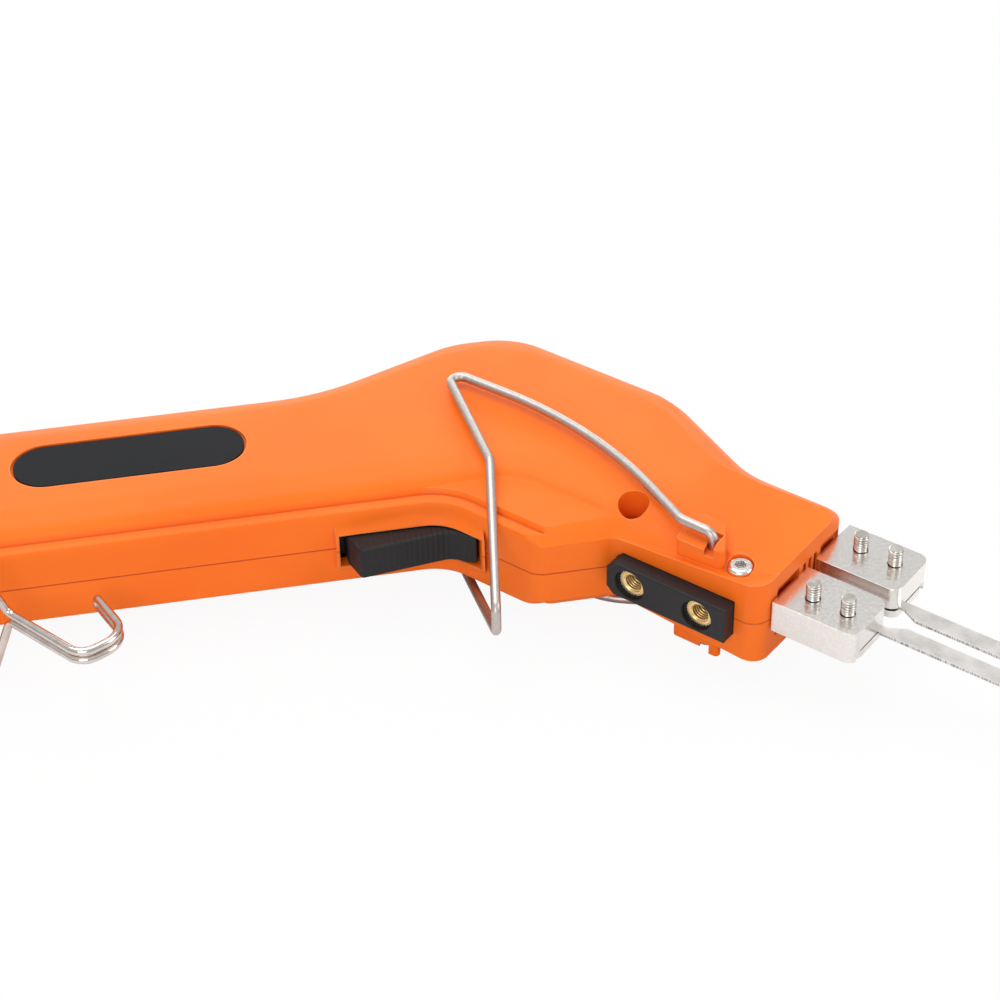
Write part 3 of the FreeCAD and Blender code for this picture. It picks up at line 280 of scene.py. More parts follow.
class SurfaceGraph(Graph):
    """One material's node tree, cleared down to its output."""

    def __init__(self, name: str) -> None:
        """Start a material with nothing but an output node."""
        self.material = bpy.data.materials.new(name)
        self.material.use_nodes = True
        super().__init__(self.material.node_tree)
        self.tree.nodes.clear()
        self.output = self.tree.nodes.new("ShaderNodeOutputMaterial")

    def place(self, stretch: tuple[float, float, float] = (1.0, 1.0, 1.0),
              turn_degrees: float = 0.0) -> bpy.types.NodeSocket:
        """Object coordinates in millimetres, turned about Z and multiplied along each axis."""
        coordinates = self.add("ShaderNodeTexCoord")
        mapping = self.add("ShaderNodeMapping", {"vector_type": "TEXTURE"}, {
            "Vector": coordinates.outputs["Object"],
            "Rotation": (0.0, 0.0, math.radians(turn_degrees)),
            "Scale": [MM / value for value in stretch]})
        return mapping.outputs[0]

    def noise(self, size_mm: float, detail: float = 2.0, roughness: float = 0.5,
              place: bpy.types.NodeSocket | None = None) -> Channel:
        """Noise whose blobs are about size_mm wide, from 0 to 1."""
        node = self.add("ShaderNodeTexNoise", {}, {
            "Vector": place or self.place(), "Scale": 1.0 / size_mm, "Detail": detail,
            "Roughness": roughness})
        return Channel(self, node.outputs["Fac"])

    def step(self, value: Channel, start: float, end: float) -> Channel:
        """A soft step from 0 at start to 1 at end."""
        node = self.add("ShaderNodeMapRange", {"interpolation_type": "SMOOTHSTEP"},
                        {"Value": value, "From Min": start, "From Max": end})
        return Channel(self, node.outputs["Result"])

    def blend(self, share: object, first: object, second: object) -> bpy.types.NodeSocket:
        """A colour between two colours."""
        node = self.add("ShaderNodeMix", {"data_type": "RGBA"}, {0: share, 6: first, 7: second})
        return node.outputs[2]

    def edge_highlight_mask(self, radius_mm: float) -> Channel:
        """Mask for painted edge highlights: 1 on sharp edges and 0 on flats, from how far a
        rounded normal leaves the true one.
        """
        rounded = self.soft_edge(radius_mm)
        true = self.add("ShaderNodeNewGeometry").outputs["Normal"]
        dot = self.add("ShaderNodeVectorMath", {"operation": "DOT_PRODUCT"},
                       {0: rounded, 1: true}).outputs["Value"]
        return self.step(1.0 - Channel(self, dot), 0.02, 0.22)

    def crease_shade_mask(self, reach_mm: float, start: float = 0.15, end: float = 0.75) -> Channel:
        """Mask for painted crease shade, from ambient occlusion: 1 deep in a crease and 0 in the
        open, seen within reach_mm on the piece itself.
        """
        node = self.add("ShaderNodeAmbientOcclusion", {"samples": 8, "only_local": True},
                        {"Distance": reach_mm * MM})
        return 1.0 - self.step(Channel(self, node.outputs["AO"]), start, end)

    def soft_edge(self, radius_mm: float) -> bpy.types.NodeSocket:
        """Normals rounded over sharp edges, as a mould or a file leaves them."""
        node = self.add("ShaderNodeBevel", {"samples": 6}, {"Radius": radius_mm * MM})
        return node.outputs[0]

    def bump(self, height: Channel, depth_mm: float, edge_mm: float = 0.0) -> bpy.types.NodeSocket:
        """Normals from a height, over rounded edges where a radius is given."""
        inputs = {"Height": height, "Distance": depth_mm * MM, "Strength": 1.0}
        if edge_mm:
            inputs["Normal"] = self.soft_edge(edge_mm)
        return self.add("ShaderNodeBump", {}, inputs).outputs[0]

    def surface(self, **inputs: object) -> bpy.types.Material:
        """Finish with a Principled shader whose sockets are named with underscores for spaces."""
        named = {key.replace("_", " "): value for key, value in inputs.items()}
        shader = self.add("ShaderNodeBsdfPrincipled", {}, named)
        self.tree.links.new(shader.outputs[0], self.output.inputs["Surface"])
        return self.material


class FormGraph(Graph):
    """A Geometry Nodes tree with named inputs, baked to a plain mesh."""

    def __init__(self, name: str, **sizes: float | int) -> None:
        """Start a tree.

        Args:
            name: the tree's name.
            sizes: its inputs and their values, with underscores for spaces.
        """
        super().__init__(bpy.data.node_groups.new(name, "GeometryNodeTree"))
        face = self.tree.interface
        face.new_socket("Geometry", in_out="INPUT", socket_type="NodeSocketGeometry")
        self.values: dict[str, object] = {}
        self.keys: dict[str, str] = {}
        for key, value in sizes.items():
            kind = "NodeSocketInt" if isinstance(value, int) else "NodeSocketFloat"
            self._name_input(key, kind, value)
        self._name_input("Material", "NodeSocketMaterial", None)
        face.new_socket("Geometry", in_out="OUTPUT", socket_type="NodeSocketGeometry")
        self.start = self.tree.nodes.new("NodeGroupInput")

    def _name_input(self, key: str, kind: str, value: object) -> None:
        """Declare one input and remember its identifier and value."""
        socket = self.tree.interface.new_socket(key.replace("_", " "), in_out="INPUT",
                                                socket_type=kind)
        self.keys[key] = socket.identifier
        self.values[key] = value

    def given(self, key: str) -> Channel:
        """One of the tree's inputs."""
        return Channel(self, self.start.outputs[key.replace("_", " ")])

    def finish(self, geometry: bpy.types.NodeSocket) -> None:
        """Close the tree with real meshes in the given material."""
        real = self.add("GeometryNodeRealizeInstances", {}, {0: geometry})
        painted = self.add("GeometryNodeSetMaterial", {},
                           {"Geometry": real.outputs[0], "Material": self.given("Material")})
        end = self.tree.nodes.new("NodeGroupOutput")
        self.tree.links.new(painted.outputs[0], end.inputs[0])

    def bake(self, seed: bpy.types.Mesh, material: bpy.types.Material) -> bpy.types.Mesh:
        """Run the tree on a mesh.

        Args:
            seed: the mesh that goes in.
            material: what the result wears.

        Returns:
            The plain mesh that comes out.
        """
        carrier = bpy.data.objects.new(self.tree.name, seed)
        bpy.context.scene.collection.objects.link(carrier)
        modifier = carrier.modifiers.new("form", "NODES")
        modifier.node_group = self.tree
        for key, identifier in self.keys.items():
            modifier[identifier] = material if key == "Material" else self.values[key]
        mesh = plain_mesh(carrier)
        bpy.data.objects.remove(carrier)
        return mesh


def plain_mesh(carrier: bpy.types.Object) -> bpy.types.Mesh:
    """The mesh of an object with its modifiers applied."""
    bpy.context.view_layer.update()
    evaluated = carrier.evaluated_get(bpy.context.evaluated_depsgraph_get())
    return bpy.data.meshes.new_from_object(evaluated)


def point_mesh(name: str, points: Iterable[Sequence[float]]) -> bpy.types.Mesh:
    """A mesh of loose points for a tree to build on."""
    mesh = bpy.data.meshes.new(name)
    mesh.from_pydata([tuple(point) for point in points], [], [])
    return mesh


def lathe(profile: Sequence[tuple[float, float]], centres: Iterable[Sequence[float]],
          steps: int = 64) -> bpy.types.Mesh:
    """Turn a closed profile round an axis along Z at each centre.

    Args:
        profile: corners as radius and height, anticlockwise.
        centres: where the axes stand.
        steps: how many flats go round.

    Returns:
        The mesh, smooth round the axis.
    """
    shape = bmesh.new()
    for centre in centres:
        base = Vector(centre)
        rings = []
        for step in range(steps):
            turn = 2 * math.pi * step / steps
            way = Vector((math.cos(turn), math.sin(turn), 0.0))
            rings.append([shape.verts.new(base + way * radius + Vector((0.0, 0.0, height)))
                          for radius, height in profile])
        for step in range(steps):
            near, far = rings[step], rings[(step + 1) % steps]
            for index in range(len(profile)):
                other = (index + 1) % len(profile)
                shape.faces.new((near[index], far[index], far[other], near[other]))
    bmesh.ops.recalc_face_normals(shape, faces=shape.faces[:])
    mark_smooth(shape, TURNED_LIMIT_DEGREES)
    mesh = bpy.data.meshes.new("turned")
    shape.to_mesh(mesh)
    shape.free()
    return mesh


def mark_smooth(shape: bmesh.types.BMesh, limit_degrees: float) -> None:
    """Shade all faces smooth, and keep edges sharp whose faces meet at more than the limit."""
    limit = math.radians(limit_degrees)
    for face in shape.faces:
        face.smooth = True
    for edge in shape.edges:
        edge.smooth = len(edge.link_faces) == 2 and edge.calc_face_angle(0.0) < limit


# Finishes

@dataclass(frozen=True)
class MouldedPlastic:
    """Injection-moulded plastic with a fine spark-eroded grain, painted shade in its creases and
    painted highlights on its sharp edges.
    """

    name: str
    colour: Colour
    shade: Colour
    roughness: float = 0.42
    grain_mm: float = 0.45
    grain_depth_mm: float = 0.008
    edge_mm: float = 0.35
    gloss: float = 0.3
    rib_pitch_mm: float = 0.0
    crease_shade: Colour | None = None
    edge_highlight: Colour | None = None
    parting_mm: float = 0.0
    crease_shade_reach_mm: float = 4.5
    crease_shade_share: float = 0.75
    edge_highlight_reach_mm: float = 0.55
    edge_highlight_share: float = 0.85
    parting_half_mm: tuple[float, float] = (0.14, 0.34)
    parting_share: float = 0.7
    cloud_mm: float = 38.0
    rib_depth_mm: float = 0.05
    rib_grain_share: float = 0.2

    def make(self) -> bpy.types.Material:
        """Build the material.

        Returns:
            The material.
        """
        graph = SurfaceGraph(self.name)
        grain = graph.noise(self.grain_mm, 2.0, 0.6)
        cloud = graph.noise(self.cloud_mm, 3.0, 0.5)
        colour = graph.blend(graph.step(cloud, 0.3, 0.7), self.shade, self.colour)
        rough = self.roughness + (grain - 0.5) * 0.1 + (cloud - 0.5) * 0.08
        # Painted shade: creases darken towards the given crease colour, as ambient occlusion finds
        # them.
        if self.crease_shade:
            in_crease_shade = graph.crease_shade_mask(self.crease_shade_reach_mm)
            colour = graph.blend(in_crease_shade * self.crease_shade_share, colour, self.crease_shade)
        # Painted highlight: sharp edges lighten towards the given edge colour.
        if self.edge_highlight:
            edges = graph.edge_highlight_mask(self.edge_highlight_reach_mm)
            colour = graph.blend(edges * self.edge_highlight_share, colour, self.edge_highlight)
        # A dark line along the parting plane, drawn in the painted crease-shade colour.
        if self.parting_mm:
            off = abs(graph.split(graph.place())[2] - self.parting_mm)
            line = 1.0 - graph.step(off, *self.parting_half_mm)
            colour = graph.blend(line * self.parting_share, colour, self.crease_shade)
        relief = grain
        depth = self.grain_depth_mm
        if self.rib_pitch_mm:
            along = graph.split(graph.place())[0]
            ribs = (along * (2 * math.pi / self.rib_pitch_mm)).sine()
            relief = grain * self.rib_grain_share + ribs
            depth = self.rib_depth_mm
        return graph.surface(Base_Color=colour, Roughness=rough.limit(0.1, 0.9),
                             Specular_IOR_Level=self.gloss,
                             Normal=graph.bump(relief, depth, self.edge_mm))


class Lay(Enum):
    """Which way a metal's fine scratches run, as degrees about Z."""

    HANDLE = 0.0
    HEAD = -47.0
    NONE = 360.0


@dataclass(frozen=True)
class WorkedMetal:
    """Plated or drawn metal with fine scratches, clouded plating, brighter edges from painted
    highlights and painted shade in its creases.
    """

    name: str
    colour: Colour
    shade: Colour
    roughness: float = 0.3
    lay: Lay = Lay.HEAD
    scratch_depth_mm: float = 0.004
    edge_mm: float = 0.15
    spread: float = 0.12
    cloud_mm: float = 5.0
    ground_sides: bool = False
    crease_shade: Colour | None = None
    edge_highlight: Colour | None = None
    crease_shade_mm: float = 1.0
    crease_shade_share: float = 0.85
    edge_highlight_mm: float = 0.25
    scratch_mm: float = 0.35
    mark_mm: float = 0.5
    mark_colour: Colour = linear(70, 66, 62)
    mark_share: float = 0.6
    mark_roughness: float = 0.2
    brushing: tuple[float, float, float] = (0.08, 3.0, 3.0)
    side_brushing: tuple[float, float, float] = (1.0, 0.05, 0.05)

    def make(self) -> bpy.types.Material:
        """Build the material.

        Returns:
            The material.
        """
        graph = SurfaceGraph(self.name)
        if self.lay is Lay.NONE:
            place = graph.place()
        else:
            place = graph.place(self.brushing, self.lay.value)
        scratches = graph.noise(self.scratch_mm, 3.0, 0.6, place)
        cloud = graph.noise(self.cloud_mm, 4.0, 0.6)
        colour = graph.blend(graph.step(cloud, 0.35, 0.7), self.shade, self.colour)
        rough = self.roughness + (scratches - 0.5) * self.spread + (cloud - 0.5) * self.spread
        # Painted shade: creases darken towards the given crease colour, as ambient occlusion finds
        # them.
        if self.crease_shade:
            in_crease_shade = graph.crease_shade_mask(self.crease_shade_mm)
            colour = graph.blend(in_crease_shade * self.crease_shade_share, colour, self.crease_shade)
        # Painted highlight: sharp edges lighten towards the given edge colour.
        if self.edge_highlight:
            colour = graph.blend(graph.edge_highlight_mask(self.edge_highlight_mm), colour, self.edge_highlight)
        if self.ground_sides:
            normal = graph.add("ShaderNodeNewGeometry").outputs["Normal"]
            side = 1.0 - graph.step(abs(graph.split(normal)[2]), 0.3, 0.7)
            along = graph.place(self.side_brushing, self.lay.value)
            marks = graph.noise(self.mark_mm, 2.0, 0.7, along)
            dark = graph.step(marks, 0.4, 0.62) * side
            colour = graph.blend(dark * self.mark_share, colour, self.mark_colour)
            rough = rough + side * self.mark_roughness
        return graph.surface(Base_Color=colour, Metallic=1.0, Roughness=rough.limit(0.05, 0.9),
                             Normal=graph.bump(scratches, self.scratch_depth_mm, self.edge_mm))


class Finishes:
    """Every finish of the tool, made once."""

    def __init__(self) -> None:
        """Make the materials."""
        # The darker crease colours below are painted shade, and the lighter edge colours are
        # painted highlights.
        self.orange = MouldedPlastic("orange_shell", linear(252, 117, 26),
                                     linear(249, 111, 20), 0.45, edge_mm=0.5, gloss=0.24,
                                     crease_shade=linear(196, 60, 8), edge_highlight=linear(255, 168, 96),
                                     parting_mm=SEAM_HEIGHT).make()
        self.black = MouldedPlastic("black_plastic", linear(31, 32, 34), linear(26, 27, 29),
                                    0.5, gloss=0.35).make()
        self.ribbed = MouldedPlastic("ribbed_trigger", linear(30, 31, 33), linear(26, 27, 29),
                                     0.5, gloss=0.3, rib_pitch_mm=1.4).make()
        self.slate = MouldedPlastic("slate_plate", linear(24, 25, 28), linear(20, 21, 24), 0.42,
                                    0.25, 0.004, 0.15, 0.1).make()
        self.rubber = MouldedPlastic("rubber_bush", linear(26, 26, 27), linear(20, 20, 21), 0.7,
                                     0.8, 0.02, 0.4, 0.2).make()
        self.natural = MouldedPlastic("natural_plastic", linear(214, 206, 184),
                                      linear(204, 195, 172), 0.45, 0.6).make()
        self.ceramic = MouldedPlastic("insulator_ceramic", linear(208, 202, 190),
                                      linear(194, 187, 174), 0.8, 0.5, 0.03, 0.3, 0.2).make()
        self.jacket = MouldedPlastic("lead_jacket", linear(38, 52, 118), linear(32, 46, 108),
                                     0.4).make()
        self.nickel = WorkedMetal("plated_steel", linear(246, 243, 239), linear(236, 232, 228),
                                  0.22, spread=0.08, cloud_mm=0.8, crease_shade=linear(86, 82, 78),
                                  edge_highlight=linear(255, 254, 252), crease_shade_mm=2.0).make()
        self.threads = WorkedMetal("plated_threads", linear(238, 235, 230),
                                   linear(210, 205, 198), 0.22, Lay.NONE, edge_mm=0.06,
                                   crease_shade=linear(60, 56, 52), crease_shade_mm=0.6).make()
        self.wire = WorkedMetal("bail_wire", linear(204, 198, 194), linear(192, 185, 180), 0.42,
                                Lay.NONE, 0.003, cloud_mm=0.8, spread=0.06).make()
        self.chrome = WorkedMetal("hook_wire", linear(226, 220, 214), linear(210, 202, 196),
                                  0.12, Lay.NONE, 0.001, spread=0.06).make()
        self.strip = WorkedMetal("blade_strip", linear(242, 239, 235), linear(226, 222, 217),
                                 0.3, ground_sides=True).make()
        self.brass = WorkedMetal("brass", linear(255, 228, 168), linear(244, 208, 140), 0.3,
                                 Lay.NONE, edge_mm=0.06, crease_shade=linear(120, 78, 30),
                                 edge_highlight=linear(255, 240, 196), crease_shade_mm=0.7).make()
        self.copper = WorkedMetal("copper", linear(226, 150, 112), linear(200, 118, 84),
                                  0.35).make()
        self.enamel = WorkedMetal("enamelled_copper", linear(170, 84, 44), linear(150, 66, 34),
                                  0.25, Lay.NONE).make()
        self.core = WorkedMetal("core_steel", linear(120, 120, 122), linear(92, 92, 95),
                                0.5).make()


# Workshop: puts pieces on their bodies

class Workshop:
    """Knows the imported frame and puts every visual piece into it."""

    def __init__(self, frame: dict) -> None:
        """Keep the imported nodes, and what body and slot each has."""
        self.nodes = frame["nodes"]
        self.frames = WorkFrames.from_pin()
        self.finishes = Finishes()
        record = frame["record"]
        self.body_of = {node: body for body, members in record["behaviour"]["bodies"].items()
                        for node in members}
        self.slot_of = {part["node"]: part["material_slot"] for part in record["subparts"]}

    def merged(self, name: str) -> bmesh.types.BMesh:
        """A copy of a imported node's mesh with its loose triangles joined."""
        shape = bmesh.new()
        shape.from_mesh(self.nodes[name].data)
        bmesh.ops.remove_doubles(shape, verts=shape.verts[:], dist=MERGE_MM * MM)
        return shape

    def refine(self, name: str, material: bpy.types.Material,
               limit_degrees: float = PIECE_LIMIT_DEGREES,
               change: Callable[[bmesh.types.BMesh], None] | None = None) -> bpy.types.Object:
        """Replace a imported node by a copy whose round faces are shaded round.

        Args:
            name: the node.
            material: what the copy wears.
            limit_degrees: faces that meet at more than this keep a sharp edge.
            change: what else is done to the copy.

        Returns:
            The new piece.
        """
        shape = self.merged(name)
        if change:
            change(shape)
        mark_smooth(shape, limit_degrees)
        mesh = bpy.data.meshes.new(name + "_fine")
        shape.to_mesh(mesh)
        shape.free()
        mesh.materials.append(material)
        carrier = bpy.data.objects.new(name + "_carrier", mesh)
        bpy.context.scene.collection.objects.link(carrier)
        weighted = carrier.modifiers.new("weighted", "WEIGHTED_NORMAL")
        weighted.keep_sharp = True
        weighted.mode = "FACE_AREA"
        plain = plain_mesh(carrier)
        bpy.data.objects.remove(carrier)
        return self.add(name + "_fine", plain, name, replaces=True)

    def add(self, name: str, mesh: bpy.types.Mesh, node: str,
            replaces: bool = False) -> bpy.types.Object:
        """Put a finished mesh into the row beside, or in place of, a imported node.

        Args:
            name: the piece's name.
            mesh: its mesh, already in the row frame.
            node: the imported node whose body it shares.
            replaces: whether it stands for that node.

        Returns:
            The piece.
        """
        piece = bpy.data.objects.new(name, mesh)
        bpy.context.scene.collection.objects.link(piece)
        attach(piece, self.body_of[node])
        if replaces:
            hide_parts(node)
        LOG.info("made %s with %d faces on %s", name, len(mesh.polygons), self.body_of[node])
        return piece


# Sub-assemblies

@dataclass(frozen=True)
class RoundEndedPlate:
    """A flat outline with round ends, in the handle frame."""

    x: float
    y: float
    length: float
    radius: float

    def split(self, x: float, y: float) -> tuple[float, float, float]:
        """Which end a point belongs to, and how far it lies from that end's centre.

        Args:
            x: place along the handle.
            y: place across the handle.

        Returns:
            The end (-1 or 1) and the two distances, as shares of the radius.
        """
        reach = self.length / 2 - self.radius
        end = math.copysign(1.0, x - self.x)
        return end, (x - self.x - end * reach) / self.radius, (y - self.y) / self.radius

    def point(self, end: float, along: float, across: float) -> tuple[float, float]:
        """The place that an end and two shares of the radius stand for."""
        reach = self.length / 2 - self.radius
        return (self.x + end * reach + along * self.radius, self.y + across * self.radius)


@dataclass(frozen=True)
class Housing:
    """The two shells, the bare name plate and the screws that hold the shells."""

    workshop: Workshop
    smooth_limit_degrees: float = 34.0
    packed_plate: RoundEndedPlate = RoundEndedPlate(36.0, 28.9, 60.0, 12.7)
    seen_plate: RoundEndedPlate = RoundEndedPlate(36.2, 29.5, 60.0, 8.55)
    plate_recess: float = 1.0
    plate_slack: float = 0.05
    outline_share: float = 1.06
    recess_share: float = 1.01
    moat_share: float = 1.05

    def narrow(self, shape: bmesh.types.BMesh) -> None:
        """Draw the plate's outline, or that of its recess, in to the width that shows.

        Args:
            shape: a copy of the plate or of the shell that holds it.
        """
        frames = self.workshop.frames
        top = frames.handle(0, 0, SIDE_HEIGHT)[2]
        origin = frames.handle(0, 0)
        for vertex in shape.verts:
            depth = (top - vertex.co.z) / MM
            if not -self.plate_slack < depth < self.plate_recess + self.plate_slack:
                continue
            x, y = ((vertex.co - origin) / MM)[:2]
            end, along, across = self.packed_plate.split(x, y)
            share = math.hypot(along, across)
            if share < self.outline_share:
                wider = self.moat_share if share > self.recess_share else 1.0
                place = self.seen_plate.point(end, along * wider, across * wider)
                vertex.co.x, vertex.co.y = frames.handle(*place)[:2]

    def build(self) -> None:
        """Smooth and dress the casing."""
        finishes = self.workshop.finishes
        self.workshop.refine("right_shell", finishes.orange, self.smooth_limit_degrees,
                             self.narrow)
        self.workshop.refine("left_shell", finishes.orange, self.smooth_limit_degrees)
        self.workshop.refine("label_plate", finishes.slate, change=self.narrow)
        self.workshop.refine("shell_screws", finishes.nickel)


@dataclass(frozen=True)
class HelixThread:
    """A screw thread laid round a core as one unbroken ridge."""

    centre_radius: float
    ridge: float
    pitch: float
    turns: float
    steps: int = 36

    def graph(self, name: str) -> FormGraph:
        """The tree that lays the ridge at each point that goes in.

        Args:
            name: the tree's name.

        Returns:
            The tree.
        """
        form = FormGraph(name, Centre_Radius=self.centre_radius, Ridge=self.ridge,
                         Pitch=self.pitch, Turns=self.turns, Steps=self.steps)
        spiral = form.add("GeometryNodeCurveSpiral", {}, {
            "Resolution": form.given("Steps"), "Rotations": form.given("Turns"),
            "Start Radius": form.given("Centre_Radius"), "End Radius": form.given("Centre_Radius"),
            "Height": form.given("Pitch") * form.given("Turns")})
        diamond = form.add("GeometryNodeCurvePrimitiveCircle", {"mode": "RADIUS"},
                           {"Resolution": 4, "Radius": form.given("Ridge")})
        ridge = form.add("GeometryNodeCurveToMesh", {}, {
            "Curve": spiral.outputs[0], "Profile Curve": diamond.outputs[0], "Fill Caps": True})
        copies = form.add("GeometryNodeInstanceOnPoints", {}, {
            "Points": form.start.outputs["Geometry"], "Instance": ridge.outputs[0]})
        form.finish(copies.outputs[0])
        return form


@dataclass(frozen=True)
class HeatingHead:
    """Clamp blocks and plates, their screws with threaded ends, and the hairpin blade."""

    workshop: Workshop
    screw_first: float = 7.8
    screw_pitch: float = 9.8
    screw_side: float = 11.7
    screw_radius: float = 1.95
    block_top: float = 5.8
    thread_pitch: float = 0.75
    thread_ridge: float = 0.33
    thread_stand: float = 4.9
    thread_rise: float = 0.25
    thread_short: float = 0.7
    waist_above: float = 0.5

    def screw_places(self) -> list[tuple[float, float, float]]:
        """Where the screws leave the blocks, in the head frame."""
        return [(self.screw_first + index * self.screw_pitch, side * self.screw_side,
                 self.block_top) for side in (-1, 1) for index in (0, 1)]

    def screws(self) -> None:
        """The screws, their ends waisted to the root of the thread that is laid round them."""
        shop = self.workshop
        root = self.screw_radius - self.thread_ridge
        shape = shop.merged("clamp_screws")
        axes = [shop.frames.head(*place) for place in self.screw_places()]
        for vertex in shape.verts:
            axis = min(axes, key=lambda point: (vertex.co - point).to_2d().length)
            away = vertex.co - axis
            flat = Vector((away.x, away.y, 0.0))
            if away.z > self.waist_above * MM and flat.length > root * MM:
                vertex.co -= flat * (1.0 - root * MM / flat.length)
        mark_smooth(shape, PIECE_LIMIT_DEGREES)
        mesh = bpy.data.meshes.new("clamp_screw_cores")
        shape.to_mesh(mesh)
        shape.free()
        mesh.materials.append(shop.finishes.threads)
        shop.add("clamp_screw_cores", mesh, "clamp_screws", replaces=True)
        thread = HelixThread(root, self.thread_ridge, self.thread_pitch,
                             (self.thread_stand - self.thread_short) / self.thread_pitch)
        seeds = [(along, across, height + self.thread_rise)
                 for along, across, height in self.screw_places()]
        ridges = thread.graph("clamp_thread").bake(point_mesh("thread_seeds", seeds),
                                                   shop.finishes.threads)
        along, across = shop.frames.head_axes()
        ridges.transform(shop.frames.seat(shop.frames.head(0, 0), along, Vector((0, 0, 1))))
        shop.add("clamp_screw_threads", ridges, "clamp_screws")

    def build(self) -> None:
        """Build the head."""
        shop = self.workshop
        for side in ("near", "far"):
            shop.refine(side + "_clamp_block", shop.finishes.nickel)
            shop.refine(side + "_clamp_plate", shop.finishes.nickel)
        shop.refine("blade", shop.finishes.strip)
        self.screws()


@dataclass(frozen=True)
class AccessoryMount:
    """The black bar under the nose with its knurled, threaded brass inserts."""

    workshop: Workshop
    first: float = -35.4
    pitch: float = 20.0
    face: float = -26.9
    length: float = 5.3
    radius: float = 3.9
    bore: float = 2.1
    thread_ridge: float = 0.42
    teeth: int = 26
    tooth: float = 0.42
    chamfer: float = 0.15
    rim_teeth: float = 1.3
    thread_pitch: float = 0.8
    thread_start: float = 0.35

    def knurl(self) -> FormGraph:
        """The tree that sets teeth round each insert's rim."""
        form = FormGraph("insert_knurl", Radius=self.radius - self.tooth, Teeth=self.teeth,
                         Tooth=self.tooth, Depth=self.length)
        ring = form.add("GeometryNodeMeshCircle", {}, {
            "Vertices": form.given("Teeth"), "Radius": form.given("Radius")})
        position = form.add("GeometryNodeInputPosition")
        facing = form.add("FunctionNodeAlignRotationToVector", {"axis": "X"},
                          {"Vector": position.outputs[0]})
        tooth = form.add("GeometryNodeMeshCylinder", {}, {
            "Vertices": 4, "Radius": form.given("Tooth"), "Depth": form.given("Depth")})
        teeth = form.add("GeometryNodeInstanceOnPoints", {}, {
            "Points": ring.outputs[0], "Instance": tooth.outputs[0],
            "Rotation": facing.outputs[0]})
        rims = form.add("GeometryNodeInstanceOnPoints", {}, {
            "Points": form.start.outputs["Geometry"], "Instance": teeth.outputs[0]})
        form.finish(rims.outputs[0])
        return form

    def build(self) -> None:
        """Build the bar and its inserts."""
        shop = self.workshop
        shop.refine("accessory_bar", shop.finishes.black)
        along, across = shop.frames.head_axes()
        seat = shop.frames.seat(shop.frames.head(0, self.face), along, -across)
        centres = [(self.first + index * self.pitch, 0.0, 0.0) for index in range(2)]
        root = self.bore + self.thread_ridge
        rim = self.radius - self.rim_teeth * self.tooth
        profile = [(root, -self.length), (rim, -self.length), (rim, 0.0),
                   (root + self.chamfer, 0.0), (root, -self.chamfer)]
        sleeve = lathe(profile, centres)
        sleeve.materials.append(shop.finishes.brass)
        sleeve.transform(seat)
        shop.add("insert_sleeves", sleeve, "threaded_inserts", replaces=True)
        middles = [(x, y, -self.length / 2) for x, y, _ in centres]
        knurl = self.knurl().bake(point_mesh("knurl_seeds", middles), shop.finishes.brass)
        knurl.transform(seat)
        shop.add("insert_knurls", knurl, "threaded_inserts")
        turns = (self.length - self.thread_pitch) / self.thread_pitch
        thread = HelixThread(root, self.thread_ridge, self.thread_pitch, turns)
        starts = [(x, y, -self.length + self.thread_start) for x, y, _ in centres]
        ridges = thread.graph("insert_thread").bake(point_mesh("bore_seeds", starts),
                                                    shop.finishes.brass)
        ridges.transform(seat)
        shop.add("insert_threads", ridges, "threaded_inserts")


@dataclass(frozen=True)
class TriggerGroup:
    """The rocking trigger, its pin and the snap-action switch."""

    workshop: Workshop

    def build(self) -> None:
        """Smooth and dress the group."""
        shop = self.workshop
        shop.refine("trigger", shop.finishes.ribbed)
        shop.refine("trigger_pin", shop.finishes.nickel)
        shop.refine("microswitch", shop.finishes.black)
        shop.refine("switch_button", shop.finishes.natural)


@dataclass(frozen=True)
class Wirework:
    """The bail stand and the hanging hook."""

    workshop: Workshop
    arm_side: float = 8.0
    arm_rise: float = 2.4
    arm_rise_at: tuple[float, float, float, float] = (132.0, 149.0, 170.0, 182.0)

    def tuck(self, shape: bmesh.types.BMesh) -> None:
        """Draw the far arm of the stand up beside the nose, so that only a sliver shows.

        Args:
            shape: a copy of the stand.
        """
        origin = self.workshop.frames.handle(0, 0)
        for vertex in shape.verts:
            x, _, z = (vertex.co - origin) / MM
            if z < -self.arm_side:
                start, full, end, clear = self.arm_rise_at
                share = min(1.0, max(0.0, (x - start) / (full - start)),
                            max(0.0, (clear - x) / (clear - end)))
                vertex.co.y += self.arm_rise * share * share * (3 - 2 * share) * MM

    def build(self) -> None:
        """Smooth and dress the bent wires."""
        shop = self.workshop
        shop.refine("bail_stand", shop.finishes.wire, WIRE_LIMIT_DEGREES, self.tuck)
        shop.refine("hanging_hook", shop.finishes.chrome, WIRE_LIMIT_DEGREES)


